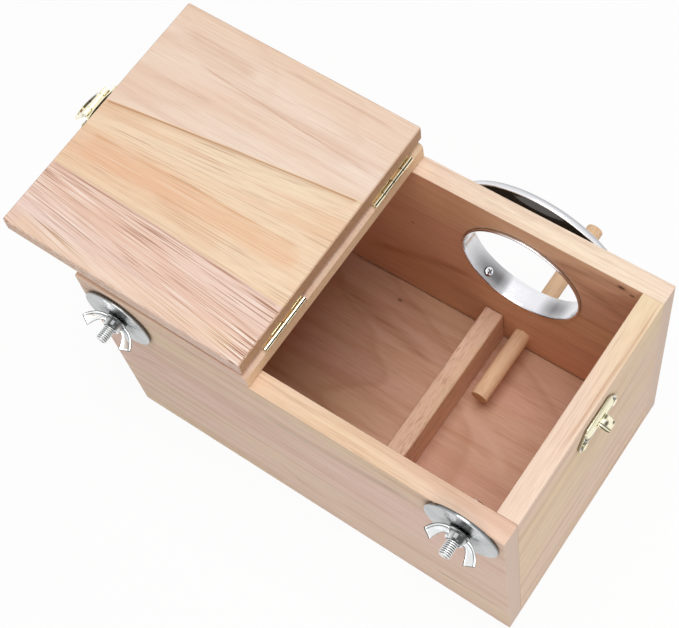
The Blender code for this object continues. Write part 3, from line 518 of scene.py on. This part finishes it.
brass = polishedMetal("polishedBrassPlate", brassLook)
hingeBrass = polishedMetal("shadedHingeBrassPlate", hingeLook)
haspPlateBrass = polishedMetal("shadedHaspBrassPlate", haspPlateLook)
haspLoopBrass = polishedMetal("shadedHaspBrassLoop", haspLoopLook)
zinc = polishedMetal("satinZincPlate", zincLook)
boltZinc = polishedMetal("brightZincPlate", boltLook)
stainless = polishedMetal("spunStainlessSheet", stainlessLook)
frontWood = sandedBoard("sandedPaulowniaFront", frontLook)
backWood = sandedBoard("sandedPaulowniaBack", backLook)
haspEndWood = sandedBoard("sandedPaulowniaHaspEnd", haspEndLook)
nestEndWood = sandedBoard("sandedPaulowniaNestEnd", nestEndLook)
floorWood = sandedBoard("sandedPaulowniaFloor", floorLook)
dividerWood = sandedBoard("sandedPaulowniaDivider", dividerLook)
fixedLidWood = sandedBoard("sandedPaulowniaFixedLid", fixedLidLook)
hingedLidWood = sandedBoard("gluedStripPaulowniaLid", hingedLidLook)
perchWood = sandedBoard("turnedBirchDowel", perchLook)
print("materials made")


# Making pieces from grids of points

def skin(grid, roundAcross=True, roundAlong=False, shade=None):
    # Faces over a grid of points (rows along, columns across); open ends close on their middle point.
    rows, columns = grid.shape[:2]
    number = np.arange(rows * columns).reshape(rows, columns)
    here = number if roundAlong else number[:-1]
    after = np.roll(number, -1, axis=0) if roundAlong else number[1:]
    if not roundAcross:
        corners = (here[:, :-1], here[:, 1:], after[:, 1:], after[:, :-1])
    else:
        corners = (here, np.roll(here, -1, axis=1), np.roll(after, -1, axis=1), after)
    faces = np.stack([part.ravel() for part in corners], axis=1).tolist()
    points = grid.reshape(-1, 3)
    tone = np.zeros((rows, columns)) if shade is None else np.broadcast_to(shade, (rows, columns))
    tones = tone.ravel()
    if not roundAlong:
        for end in (0, -1):
            hub = np.full(columns, len(points))
            faces += np.stack([number[end], np.roll(number[end], -1), hub], axis=1).tolist()
            points = np.vstack([points, grid[end].mean(0)])
            tones = np.append(tones, tone[end].mean())
    return points, faces, tones


def addPiece(name, skins, material, body, stands=(), sharp=40):
    # One object from one or more closed skins in millimetres, with outward faces and its shade attribute.
    points, faces, tones = [], [], []
    for ownPoints, ownFaces, ownTones in skins:
        start = sum(len(part) for part in points)
        points.append(ownPoints)
        tones.append(ownTones)
        faces += [[index + start for index in face] for face in ownFaces]
    mesh = bpy.data.meshes.new(name)
    mesh.from_pydata((np.vstack(points) * mm).tolist(), [], faces)
    mesh.attributes.new("shade", "FLOAT", "POINT").data.foreach_set("value", np.concatenate(tones).clip(0, 1))
    work = bmesh.new()
    work.from_mesh(mesh)
    bmesh.ops.remove_doubles(work, verts=work.verts, dist=1e-7)
    bmesh.ops.recalc_face_normals(work, faces=work.faces)
    work.to_mesh(mesh)
    work.free()
    mesh.shade_smooth()
    mesh.set_sharp_from_angle(angle=math.radians(sharp))
    mesh.materials.append(material)
    piece = bpy.data.objects.new(name, mesh)
    scene.collection.objects.link(piece)
    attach(piece, body)
    if stands:
        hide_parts(*stands)
    return piece


def roundedRectangle(halfAcross, halfUp, radius, steps=4):
    # The outline of a rectangle with round corners, counter-clockwise: a quarter circle round each corner's centre.
    turn = np.linspace(0, math.pi / 2, steps + 1)
    quarter = np.arange(4)[:, None] * math.pi / 2 + turn
    centreX = np.array([1, -1, -1, 1])[:, None] * (halfAcross - radius)
    centreY = np.array([1, 1, -1, -1])[:, None] * (halfUp - radius)
    x, y = centreX + radius * np.cos(quarter), centreY + radius * np.sin(quarter)
    return np.column_stack([x.ravel(), y.ravel()])


def boardSkin(low, high, easing):
    # A board with eased edges: a rounded outline carried along X, drawn in at both ends along a quarter circle.
    low, high = np.array(low, float), np.array(high, float)
    middle, half = (low + high) / 2, (high - low) / 2
    turn = np.linspace(0, math.pi / 2, 4)
    inset = easing * (1 - np.sin(turn))
    station = -half[0] + easing * (1 - np.cos(turn))
    rows = list(zip(station, inset))
    rows += [(-x, drawn) for x, drawn in rows[::-1]]
    grid = []
    for x, drawn in rows:
        outline = roundedRectangle(half[1] - drawn, half[2] - drawn, max(easing - drawn, 0.02 * easing))
        grid.append(np.column_stack([np.full(len(outline), x), outline]) + middle)
    return skin(np.array(grid))


def holedBoardSkin(low, high, hole, radius, flare, easing, sidePoints):
    # A board with a round hole: for each point round the rim one loop over the face, edge, back and hole wall.
    low, high = np.array(low, float), np.array(high, float)
    share = np.linspace(0, 1, sidePoints, endpoint=False)[:, None]
    corners = np.array([(0, 0), (1, 0), (1, 1), (0, 1)], float)
    along = np.concatenate([corners[k] + share * (corners[(k + 1) % 4] - corners[k]) for k in range(4)])

    def rim(inset):
        # The board's own edge, drawn in on all sides.
        size = np.array([high[0] - low[0], high[2] - low[2]]) - 2 * inset
        return np.array([low[0], low[2]]) + inset + along * size

    hole = np.array(hole)
    direction = rim(0) - hole
    direction /= np.linalg.norm(direction, axis=1)[:, None]
    turn = np.linspace(0, math.pi / 2, 4)
    rows = [(hole + direction * radius, low[1] + flare), (hole + direction * (radius + flare), low[1])]
    rows += [(rim(easing * (1 - math.sin(a))), low[1] + easing * (1 - math.cos(a))) for a in turn]
    rows += [(rim(easing * (1 - math.cos(a))), high[1] - easing * (1 - math.sin(a))) for a in turn]
    rows += [(hole + direction * radius, high[1])]
    grid = np.array([np.column_stack([flat[:, 0], np.full(len(flat), y), flat[:, 1]]) for flat, y in rows])
    return skin(grid, roundAlong=True)


def turnedSkin(profile, middle, sides, closed=False, shade=None):
    # A profile of (radius, distance) points turned round the line through the middle along Y.
    profile = np.array(profile, float)
    turn = np.linspace(0, 2 * math.pi, sides, endpoint=False)
    x = middle[0] + profile[:, :1] * np.cos(turn)
    z = middle[2] + profile[:, :1] * np.sin(turn)
    y = middle[1] + profile[:, 1:] + np.zeros(sides)
    if shade is not None and np.ndim(shade) == 1:
        shade = np.array(shade, float)[:, None]
    return skin(np.stack([x, y, z], axis=2), roundAlong=closed, shade=shade)


def arcPoints(centre, radius, start, end, steps):
    # Points of a circle between two angles in degrees.
    turn = np.radians(np.linspace(start, end, steps + 1))
    return np.column_stack([centre[0] + radius * np.cos(turn), centre[1] + radius * np.sin(turn)]).tolist()


# Walls of the box, joined more closely than the solids' working gaps
walls = {
    "length": 200, "depth": 121.5, "height": 114, "thickness": 9, "easing": 0.4, "jointGap": 0.05, "endEasing": 0.2,
    "entrance": (-36.6, 76.2), "entranceRadius": 28.62, "entranceFlare": 2.5,
    "sidePoints": 90,  # points along each side of the board round the entrance
}


def addWalls(size):
    # The long walls run the whole length, and the end walls fit between them.
    halfLength, halfDepth = size["length"] / 2, size["depth"] / 2
    inner = halfDepth - size["thickness"]
    front = holedBoardSkin((-halfLength, -halfDepth, 0), (halfLength, -inner, size["height"]), size["entrance"],
                           size["entranceRadius"], size["entranceFlare"], size["easing"], size["sidePoints"])
    addPiece("frontBoard", [front], frontWood, "box", ["front_wall"])
    back = boardSkin((-halfLength, inner, 0), (halfLength, halfDepth, size["height"]), size["easing"])
    addPiece("backBoard", [back], backWood, "box", ["back_wall"])
    fitted = inner - size["jointGap"]
    for name, side, wood, node in (("haspEndBoard", -1, haspEndWood, "hasp_end_wall"),
                                   ("nestEndBoard", 1, nestEndWood, "nest_end_wall")):
        ends = sorted((side * halfLength, side * (halfLength - size["thickness"])))
        board = boardSkin((ends[0], -fitted, 0), (ends[1], fitted, size["height"]), size["endEasing"])
        addPiece(name, [board], wood, "box", [node])


addWalls(walls)

# The floor, the divider and both lids stay as their solids, with the woods in their slots
for node, material in (("floor_panel", floorWood), ("divider", dividerWood), ("fixed_lid", fixedLidWood),
                       ("hinged_lid", hingedLidWood)):
    nodes[node].material_slots[0].material = material
print("boards made")


# Perch, a dowel with softly broken ends
perch = {"place": (-36.6, 18.0), "from": -15.25, "to": -115.25, "radius": 4, "break": 0.5}


def addPerch(size):
    # A cylinder along Y whose two edges are quarter circles.
    soft = size["break"]
    inner, outer = size["from"], size["to"]
    profile = [(0.01, inner), (size["radius"] * 0.5, inner)]
    profile += arcPoints((size["radius"] - soft, inner - soft), soft, 90, 0, 4)
    profile += arcPoints((size["radius"] - soft, outer + soft), soft, 0, -90, 4)
    profile += [(size["radius"] * 0.5, outer), (0.01, outer)]
    skinned = turnedSkin(profile, (size["place"][0], 0, size["place"][1]), 64)
    addPiece("perchDowel", [skinned], perchWood, "box", ["perch"])


addPerch(perch)


# Entrance ring, spun from one steel sheet: a collar through the wall, a flat seat and a raised rolled rim
ring = {
    "place": (-36.6, -60.75, 76.2), "collar": 28.5, "sheet": 0.8, "innerEnd": 10.0, "dish": 42.6, "face": 5.4,
    "rim": 2.4, "bend": 2.2, "roll": 2.0, "seatGap": 0.3, "seatShare": 0.33, "sides": 240,
    "wallSideTone": 0.93, "rimTone": 0.42,  # painted shade: how dark the wall side and the rolled rim are
    "reflectionBandAngle": [-180, -150, -142, -130, -120, -112, -104, -72, -68, -61, -48, -36, -26, -10, 20, 60, 120, 180],
    "reflectionBandTone": [0.12, 0.08, 0.15, 0.6, 0.75, 0.5, 0.0, 0.0, 0.5, 0.85, 0.82, 0.62, 0.4, 0.22, 0.15, 0.0, 0.1, 0.12],
}


def addRing(size):
    # Distances run outward along -Y; the seat rises to the rim in half a cosine wave, the sheet laid square to it.
    sheet, bend, roll, gap = size["sheet"], size["bend"], size["roll"], size["seatGap"]
    shell, edge = size["collar"] + bend, size["dish"] - roll
    start = shell + size["seatShare"] * (edge - shell)
    share = np.linspace(0, 1, 17)
    rise = size["face"] - sheet - gap
    slope = rise * math.pi * np.sin(math.pi * share) / (2 * (edge - start))
    square = np.hypot(1, slope)

    def seat(offset):
        # The seat's line, moved off by a distance square to it.
        radius = start + share * (edge - start) - offset * slope / square
        return np.column_stack([radius, gap + rise * (1 - np.cos(math.pi * share)) / 2 + offset / square]).tolist()

    corner = (edge, size["face"] - roll)
    wallSide = [[size["collar"], distance] for distance in np.linspace(-size["innerEnd"], gap - bend - 1, 6)]
    wallSide += arcPoints((shell, gap - bend), bend, 180, 90, 10) + seat(0)
    wallSide += arcPoints(corner, roll - sheet, 90, 0, 10)[1:] + [(size["dish"] - sheet, size["rim"])]
    openSide = arcPoints((size["dish"] - sheet / 2, size["rim"]), sheet / 2, -180, 0, 6)[1:]
    openSide += arcPoints(corner, roll, 0, 90, 10) + seat(sheet)[-2::-1]
    openSide += arcPoints((shell, gap - bend), bend + sheet, 90, 180, 10)
    openSide += [(radius - sheet, distance) for radius, distance in wallSide[5::-1]]
    openSide += arcPoints((size["collar"] - sheet / 2, -size["innerEnd"]), sheet / 2, 180, 360, 6)[1:-1]
    profile = np.array(wallSide + openSide)

    # Painted reflections: soft darker bands round the collar, weaker at its edges, and painted shade on the wall side
    # and the rolled rim
    angle = (np.degrees(np.linspace(0, 2 * math.pi, size["sides"], endpoint=False)) + 180) % 360 - 180
    reflectionBands = np.interp(angle, size["reflectionBandAngle"], size["reflectionBandTone"])
    outer = [0.0] * len(wallSide)
    inner = [0.6 + 0.4 * math.sin(math.pi * min(max((distance + 10) / 9, 0), 1)) if radius < shell else 0.0
             for radius, distance in openSide]
    tone = np.array(outer + inner)[:, None] * reflectionBands
    tone[1:len(wallSide) - 12] = size["wallSideTone"]
    rolled = slice(len(wallSide) + 6, len(wallSide) + 17)  # the eleven points of the rim's open side
    tone[rolled] = size["rimTone"] * np.sin(np.linspace(0.3, math.pi, 11))[:, None]
    spun = turnedSkin(profile * (1, -1), size["place"], size["sides"], closed=True, shade=tone)
    addPiece("spunEntranceRing", [spun], stainless, "box", ["entrance_ring"])


addRing(ring)


# Mounting bolts with threads, pressed washers and wing nuts
fastener = {
    "fromEnd": 18.1, "height": 104.6, "wallIn": 51.75, "wallOut": 60.75, "radius": 2.5, "end": 73.55, "pitch": 0.85,
    "threadDepth": 0.45, "threadSides": 40, "rowsPerTurn": 14, "tipLength": 0.7, "tipDepth": 0.55,
    "headRadius": 5.5, "headHeight": 2.2, "washerRadius": 16.0, "washerThickness": 1.5, "washerGap": 0.3,
    "turn": 28,  # degrees round the bolt at which the wings stand
    "lowerEdge": [(3.0, 0.45), (5.2, 0.5), (7.2, 1.1), (9.4, 2.6), (11.1, 4.6), (12.05, 6.8)],
    "upperEdge": [(3.0, 3.0), (4.4, 3.3), (5.6, 4.1), (6.5, 5.4), (7.2, 7.2), (7.86, 9.05)],
    "beadHalf": [(0, 0), (0.04, 0.3), (0.12, 0.5), (0.3, 0.68), (0.55, 0.72), (0.8, 0.62), (0.95, 0.46), (1.05, 0.4),
                 (1.2, 0.44), (1.5, 0.5)],
    "beadShade": [0.9, 0.95, 0.8, 0.25, 0, 0, 0.5, 0.95, 0.4, 0],
    "rimHalf": [(0.5, 0.5), (0.25, 0.47), (0.1, 0.38), (0.03, 0.25), (0, 0)],
    "rimShade": [0, 0.1, 0.6, 0.95, 0.95],
}


def boltSkins(size, x):
    # A thread: the radius falls by a rounded groove once a pitch, and the groove moves round with the turn.
    start, end = size["wallOut"] - 1.0, size["end"]
    turn = np.linspace(0, 2 * math.pi, size["threadSides"], endpoint=False)
    along = np.linspace(start, end, int((end - start) / size["pitch"] * size["rowsPerTurn"]))
    phase = (along[:, None] / size["pitch"] + turn / (2 * math.pi)) % 1
    groove = np.abs(phase * 2 - 1) ** 1.4
    fade = np.clip((end - along) / size["tipLength"], 0, 1)[:, None]
    radius = (size["radius"] - size["threadDepth"] * groove) - size["tipDepth"] * (1 - fade) ** 1.5
    y = along[:, None] + 0 * turn
    grid = np.stack([x + radius * np.cos(turn), y, size["height"] + radius * np.sin(turn)], 2)
    seat = size["wallIn"] - 0.3
    head = [(size["headRadius"] * math.cos(a), seat - size["headHeight"] * math.sin(a))
            for a in np.radians([88, 75, 60, 45, 30, 15, 0])]
    head += [(size["radius"], seat), (size["radius"], start + 0.5)]
    # Painted shade: the shade attribute darkens the thread grooves.
    return [skin(grid, shade=1.1 * groove ** 1.5 - 0.1), turnedSkin(head, (x, 0, size["height"]), 48)]


def washerSkins(size, x):
    # Painted shade: dark on the wall side and its lower edge, and darker on the top face towards the nut and the
    # hole.
    low = size["wallOut"] + size["washerGap"]
    high = low + size["washerThickness"]
    hole, rim, soft = size["radius"] + 0.3, size["washerRadius"], 0.35
    profile = [(hole, low), (rim - soft, low)]
    profile += arcPoints((rim - soft, low + soft), soft, -90, 0, 4)
    profile += arcPoints((rim - soft, high - soft), soft, 0, 90, 4)
    profile += [(radius, high) for radius in (15, 12, 9.5, 8.5, 7.5, 6.5, 5.5, 4.5, 3.5)]
    profile += arcPoints((hole + soft, high - soft), soft, 90, 180, 4)
    tone = [0.8] * 7 + [0.35, 0.1, 0.05, 0, 0] + [0.02, 0.04, 0.1, 0.3, 0.45, 0.5, 0.55, 0.6, 0.7] + [0.9] * 5
    return [turnedSkin(profile, (x, 0, size["height"]), 96, closed=True, shade=tone)]


def wingSkin(size, side):
    # A flat wing between a lower and an upper edge curve: a bead and groove follow the lower edge, a round the upper.
    # Its tones are painted shade and reflections, dark along the lower edge, in the groove, along the upper edge and
    # at the tip.
    share = np.append(np.linspace(0, 0.95, 26), [0.975, 0.99, 0.997, 1.0])
    known = np.linspace(0, 1, 6)
    lower, upper = (
        np.column_stack([np.polyval(np.polyfit(known, row, 3), share) for row in np.transpose(size[edge])])
        for edge in ("lowerEdge", "upperEdge"))
    width = np.linalg.norm(upper - lower, axis=1)[:, None]
    bead, rim = np.array(size["beadHalf"]), np.array(size["rimHalf"])
    reach = np.concatenate([bead[:, 0] + 0 * width, width - rim[:, 0]], axis=1)
    half = np.concatenate([bead[:, 1], rim[:, 1]]) + 0 * width
    tone = np.concatenate([size["beadShade"], size["rimShade"]]) + 0 * width
    tip = np.sqrt(np.clip(1 - np.clip((share - 0.95) / 0.05, 0, 1) ** 2, 0.0004, 1))[:, None]
    tone = np.maximum(tone, 0.9 * (tip < 0.75))
    half = half * tip
    back = slice(half.shape[1] - 2, 0, -1)
    reach = np.concatenate([reach, reach[:, back]], axis=1)
    flat = np.concatenate([half, -half[:, back]], axis=1)
    tone = np.concatenate([tone, tone[:, back]], axis=1)
    points = lower[:, None] + (upper - lower)[:, None] * (reach / width)[..., None]
    return np.stack([side * points[..., 0], points[..., 1], flat], axis=2), tone


def wingNutSkins(size, x):
    # A turned hub with painted shade and reflections, darker at its seat, its bore and on the two flanks between the
    # wings, and a wing on each side, all turned round the bolt.
    seat = size["wallOut"] + 2 * size["washerGap"] + size["washerThickness"]
    bore = size["radius"] + 0.15
    profile = [(bore, 0), (4.4, 0), (4.8, 0.3), (4.8, 0.9), (4.5, 1.15), (4.1, 1.4), (4.05, 1.9), (3.95, 3.6),
               (3.75, 4.1), (3.4, 4.4), (3.0, 4.5), (2.8, 4.3), (bore, 4.0)]
    tone = [0.9, 0.9, 0.6, 0.1, 0.6, 0.9, 0.4, 0.0, 0, 0, 0.3, 0.95, 1]
    turn = math.radians(size["turn"])
    between = 0.5 - 0.5 * np.cos(2 * (np.linspace(0, 2 * math.pi, 64, endpoint=False) - turn))
    hubShade = np.maximum(np.array(tone)[:, None], 0.9 * np.clip(between * 2.4 - 0.9, 0, 1))
    skins = [turnedSkin(np.array(profile) + (0, seat), (x, 0, size["height"]), 64, closed=True, shade=hubShade)]
    for side in (-1, 1):
        grid, tone = wingSkin(size, side)
        across, out, flat = grid[..., 0], grid[..., 1], grid[..., 2]
        worldX = x + across * math.cos(turn) + flat * math.sin(turn)
        worldZ = size["height"] + across * math.sin(turn) - flat * math.cos(turn)
        skins.append(skin(np.stack([worldX, seat + out, worldZ], axis=2), shade=tone))
    return skins


def addFasteners(size):
    # One bolt, washer and wing nut near each end of the back wall; the washer and the nut ride on their own bodies.
    for label, body, side in (("hasp", "hasp_side", -1), ("nest", "nest_side", 1)):
        x = side * (walls["length"] / 2 - size["fromEnd"])
        addPiece(label + "EndThreadedBolt", boltSkins(size, x), boltZinc, "box", [label + "_end_bolt"])
        addPiece(label + "EndPressedWasher", washerSkins(size, x), zinc, body + "_washer",
                 [label + "_end_washer"])
        addPiece(label + "EndCastWingNut", wingNutSkins(size, x), boltZinc, body + "_nut",
                 [label + "_end_wing_nut"], sharp=55)


addFasteners(fastener)


# Round-headed cross screws of the ring and the catch
roundScrew = {"headHeight": 0.9, "shank": 0.75, "length": 6.8, "crossWidth": 0.28, "crossReach": 0.62}


def roundScrewSkins(size, seat, outward, headRadius):
    # A dome over (radius, turn), sunk where the two slots cross, with painted shade in the slots and round the head's
    # edge, on a plain shank.
    outward = np.array(outward, float)
    side = np.cross(outward, (0.3, 1.0, 0.2))
    side /= np.linalg.norm(side)
    other = np.cross(outward, side)
    turn = np.linspace(0, 2 * math.pi, 48, endpoint=False)
    share = np.concatenate([np.linspace(0.02, 0.9, 14), [0.96, 1.0, 1.0, 0.97]])
    radius = headRadius * share[:, None] + 0 * turn
    height = size["headHeight"] * np.sqrt(np.clip(1 - share ** 2, 0, 1))[:, None] * 0.85 + 0.12 + 0 * turn
    height[-2:] = 0.0
    first, second = radius * np.cos(turn), radius * np.sin(turn)
    slot = np.minimum(np.abs(first), np.abs(second)) < size["crossWidth"] * headRadius / 2.1
    slot &= radius < size["crossReach"] * headRadius
    height = height - 0.4 * slot
    tone = 0.9 * slot + np.where(share > 0.93, 0.85, 0.0)[:, None]
    grid = np.array(seat) + first[..., None] * side + second[..., None] * other + height[..., None] * outward
    shankRadius = np.array([size["shank"], size["shank"], 0.02])[:, None] + 0 * turn
    depth = -np.array([-0.1, size["length"] - 1.5, size["length"]])[:, None] + 0 * turn
    shank = np.array(seat) + (shankRadius * np.cos(turn))[..., None] * side
    shank = shank + (shankRadius * np.sin(turn))[..., None] * other + depth[..., None] * outward
    return [skin(grid, shade=tone), skin(shank)]


def addRingScrews(size, ringSize):
    # The heads lie on the collar's inner side, at the seen screw's angle and opposite it.
    for number, angle in ((1, -48), (2, 132)):
        turned = np.array([math.cos(math.radians(angle)), 0, math.sin(math.radians(angle))])
        seat = np.array(ringSize["place"]) + turned * (ringSize["collar"] - ringSize["sheet"] - 0.3) + (0, 6.1, 0)
        addPiece(f"ringRoundScrew{number}", roundScrewSkins(size, seat, -turned, 2.1), stainless, "box",
                 [f"ring_screw_{number}"])


addRingScrews(roundScrew, ring)


# Catch on the end wall: a thin plate with two ears, a convex rib across it and a curled bill, stamped brass
catch = {
    "middle": -2.5, "face": -100.3, "thickness": 1.0, "top": 107.5, "bottom": 95.5, "topWidth": 18.5, "topCorner": 2,
    "earRadius": 3, "earSpread": 21.2, "easing": 0.25, "ribLength": 19.5, "ribHalf": 3.7, "ribDepth": 1.4,
    "ribDrop": 4.3, "billWidth": 6.3, "billRadius": 5, "billThickness": 1.0, "billDrop": 3.2, "billEnd": 25,
    "billShadeSpots": [(0.34, -0.6, 0.09, 0.5, 0.95), (0.55, 0.1, 0.10, 0.45, 0.9), (0.86, -0.8, 0.08, 0.3, 0.9)],
}


def hullOutline(rounds, count=180):
    # The line of a string drawn tight round discs (x, y, radius): for each direction the disc that reaches furthest.
    rounds = np.array(rounds, float)
    turn = np.linspace(0, 2 * math.pi, count, endpoint=False)
    direction = np.column_stack([np.cos(turn), np.sin(turn)])
    furthest = np.argmax(direction @ rounds[:, :2].T + rounds[:, 2], axis=1)
    return rounds[furthest, :2] + rounds[furthest, 2:] * direction


def plateSkin(outline, normals, thickness, easing, edgeShade):
    # A flat plate in its own plane: the outline drawn in at both faces along a quarter circle.
    turn = np.linspace(0, math.pi / 2, 4)
    rows = [(easing * (1 - math.sin(a)), easing * (1 - math.cos(a))) for a in turn]
    rows += [(inset, thickness - depth) for inset, depth in rows[::-1]]
    grid = np.array([
        np.column_stack([outline - inset * normals, np.full(len(outline), depth)]) for inset, depth in rows])
    # Painted shade: the edge rows take the edge tone, and the top face past 9.2 mm across a dark one at the ears.
    tone = np.array([edgeShade] * 6 + [edgeShade * 0.5, 0.0])[:, None]
    inner = np.column_stack([outline - 0.8 * normals, np.full(len(outline), thickness)])
    grid = np.concatenate([grid, inner[None]])
    earShade = 0.85 * (np.abs(outline[:, 0]) > 9.2)
    return grid, np.concatenate([tone + 0 * earShade, earShade[None]])


def addCatch(size):
    # The plate's outline is the line round four discs, two at the top corners and two at the ears.
    half, corner, ear = size["topWidth"] / 2, size["topCorner"], size["earRadius"]
    rounds = [(side * (half - corner), size["top"] - corner, corner) for side in (-1, 1)]
    rounds += [(side * size["earSpread"] / 2, size["bottom"] + ear, ear) for side in (-1, 1)]
    outline = hullOutline(rounds)
    ahead = np.roll(outline, -1, axis=0) - np.roll(outline, 1, axis=0)
    normals = np.column_stack([ahead[:, 1], -ahead[:, 0]]) / np.linalg.norm(ahead, axis=1)[:, None]
    grid, tone = plateSkin(outline, normals, size["thickness"], size["easing"], 0.55)

    def onWall(across, up, out):
        # From the plate's own across, up and out to the end wall's face.
        return np.stack([size["face"] - out, size["middle"] + across, up], axis=-1)

    plate = skin(onWall(grid[..., 0], grid[..., 1], grid[..., 2]), shade=tone)

    # The rib: half an ellipse carried along the plate, rounded at both ends, with painted shade along its upper flank
    # and at its ends and a painted shadow line along its lower edge
    station = np.sin(np.linspace(-math.pi / 2, math.pi / 2, 41))
    turn = np.linspace(0, math.pi, 25)
    ends = np.sqrt(np.clip(1 - np.abs(station) ** 10, 0.0004, 1))[:, None]
    up = size["top"] - size["ribDrop"] + size["ribHalf"] * np.cos(turn) * (0.55 + 0.45 * ends)
    out = size["thickness"] * 0.5 + (size["thickness"] * 0.5 + size["ribDepth"]) * np.sin(turn) * ends
    across = station[:, None] * size["ribLength"] / 2 + 0 * turn
    flank = np.interp(np.degrees(turn), [0, 8, 22, 34, 82, 88, 180], [0.55, 0.4, 0.2, 0.0, 0.0, 0.97, 0.97])
    cap = np.interp(np.abs(station), [0.0, 0.93, 0.99, 1.0], [0.0, 0.0, 0.6, 0.6])[:, None]
    rib = skin(onWall(across, up, out), shade=np.maximum(flank, cap))

    # The bill: a strip that leaves the plate square, curls down and narrows to a round end
    share = np.linspace(0, 1, 24)
    angle = np.radians(90 - (90 - size["billEnd"]) * np.clip((share - 0.25) / 0.75, 0, 1))
    radius = size["billRadius"]
    hub = size["top"] - size["billDrop"] - radius
    narrow = (1 - 0.3 * np.clip((share - 0.55) / 0.45, 0, 1) ** 2)[:, None]
    across = np.linspace(-1, 1, 33)[:, None] * (size["billWidth"] / 2, 0)
    section = np.concatenate([across + (0, size["billThickness"] / 2), across[::-1] - (0, size["billThickness"] / 2)])
    reach = radius - size["billThickness"] / 2 + section[:, 1]
    stem = 2.2 * np.clip(share / 0.25, 0, 1)[:, None]
    billOut = stem + (reach * np.cos(angle)[:, None])
    billUp = hub + reach * np.sin(angle)[:, None]
    side = section[:, 0] / (size["billWidth"] / 2)
    # Painted shade and reflections: dark stripes along the strip past its first part, and dark spots along its curl.
    tone = np.interp(side, [-1, -0.85, 0.3, 0.42, 0.52, 0.6, 0.7, 0.8, 0.92, 1],
                     [0.5, 0, 0, 0.85, 0.85, 0, 0, 0.95, 0.95, 0.1])
    tone = tone * (share > 0.3)[:, None]
    for place, turn, long, wide, depth in size["billShadeSpots"]:
        spot = ((share[:, None] - place) / long) ** 2 + ((side - turn) / wide) ** 2
        tone = np.maximum(tone, depth * np.exp(-spot ** 2))
    bill = skin(onWall(section[:, 0] * narrow, billUp, billOut), shade=tone)
    addPiece("stampedCatchPlate", [plate, rib, bill], brass, "box", ["catch_plate"], sharp=50)
    for number, end in ((1, -1), (2, 1)):
        seat = onWall(*np.array([end * size["earSpread"] / 2, size["bottom"] + ear, size["thickness"] + 0.3]))
        addPiece(f"catchRoundScrew{number}", roundScrewSkins(roundScrew, seat, (-1, 0, 0), 1.8), brass, "box",
                 [f"catch_screw_{number}"])


addCatch(catch)


# Fittings that stay as their solids, by the first words of their names
plated = {"hasp_plate": haspPlateBrass, "hasp_loop": haspLoopBrass, "hasp_pin": brass, "hasp_screw": brass,
          "back_hinge": hingeBrass, "front_hinge": hingeBrass, "fixed_leaf_screw": brass, "lid_leaf_screw": brass}
for name, node in nodes.items():
    for words, material in plated.items():
        if name.startswith(words):
            node.material_slots[0].material = material
print("fittings made")


# Floor, world and lamps
stage = {"floorSize": 6000, "floorDrop": 0.05, "white": 0.93, "sky": 0.30, "floorTone": 0.85, "floorRoughness": 0.9}
lamps = [
    {"name": "softboxAbove", "place": (-100, 0, 1500), "size": 900, "power": 13.0},
    {"name": "softboxCamera", "place": (-900, 900, 900), "size": 900, "power": 5.0},
]


def seenDirectly(tree):
    # One for camera, glossy and transmission rays, none for the light that falls on the object.
    path = addNode(tree, "LightPath")
    either = addNode(tree, "Math", [
        path.outputs["Is Camera Ray"], path.outputs["Is Glossy Ray"]], operation="MAXIMUM")
    return addNode(tree, "Math", [either, path.outputs["Is Transmission Ray"]], operation="MAXIMUM")


def addStage(look):
    # A matt floor just under the box, which mixes in a white glow only where it is seen directly.
    mesh = bpy.data.meshes.new("studioFloor")
    half, down = look["floorSize"] / 2, -look["floorDrop"]
    corners = np.array([(-half, -half, down), (half, -half, down), (half, half, down), (-half, half, down)])
    mesh.from_pydata((corners * mm).tolist(), [], [(0, 1, 2, 3)])
    floor = bpy.data.objects.new("studioFloor", mesh)
    scene.collection.objects.link(floor)
    material, tree, shader = newMaterial("whiteStudioSweep")
    share = addNode(tree, "Math", [seenDirectly(tree), look["white"]], operation="MULTIPLY")
    glow = addNode(tree, "Emission", {"Color": (1, 1, 1, 1), "Strength": 1.0})
    mixed = addNode(tree, "MixShader", [share, shader, glow])
    shader.inputs["Base Color"].default_value = (look["floorTone"],) * 3 + (1,)
    shader.inputs["Roughness"].default_value = look["floorRoughness"]
    tree.links.new(mixed.outputs[0], tree.nodes["Material Output"].inputs["Surface"])
    mesh.materials.append(material)
    world = bpy.data.worlds.new("studioWorld")
    world.use_nodes = True
    tree = world.node_tree
    strength = addNode(tree, "MapRange", [seenDirectly(tree), 0.0, 1.0, look["sky"], 1.0])
    background = tree.nodes["Background"]
    background.inputs["Color"].default_value = (1, 1, 1, 1)
    tree.links.new(strength.outputs[0], background.inputs["Strength"])
    scene.world = world


def addLamps(places):
    # Each square lamp looks at the middle of the box's underside.
    for lamp in places:
        data = bpy.data.lights.new(lamp["name"], "AREA")
        data.shape = "SQUARE"
        data.size = lamp["size"] * mm
        data.energy = lamp["power"]
        light = bpy.data.objects.new(lamp["name"], data)
        scene.collection.objects.link(light)
        light.location = np.array(lamp["place"]) * mm
        light.rotation_euler = light.location.to_track_quat("Z", "Y").to_euler()


addStage(stage)
addLamps(lamps)
scene.view_settings.view_transform = "Standard"
print("stage and lamps made")
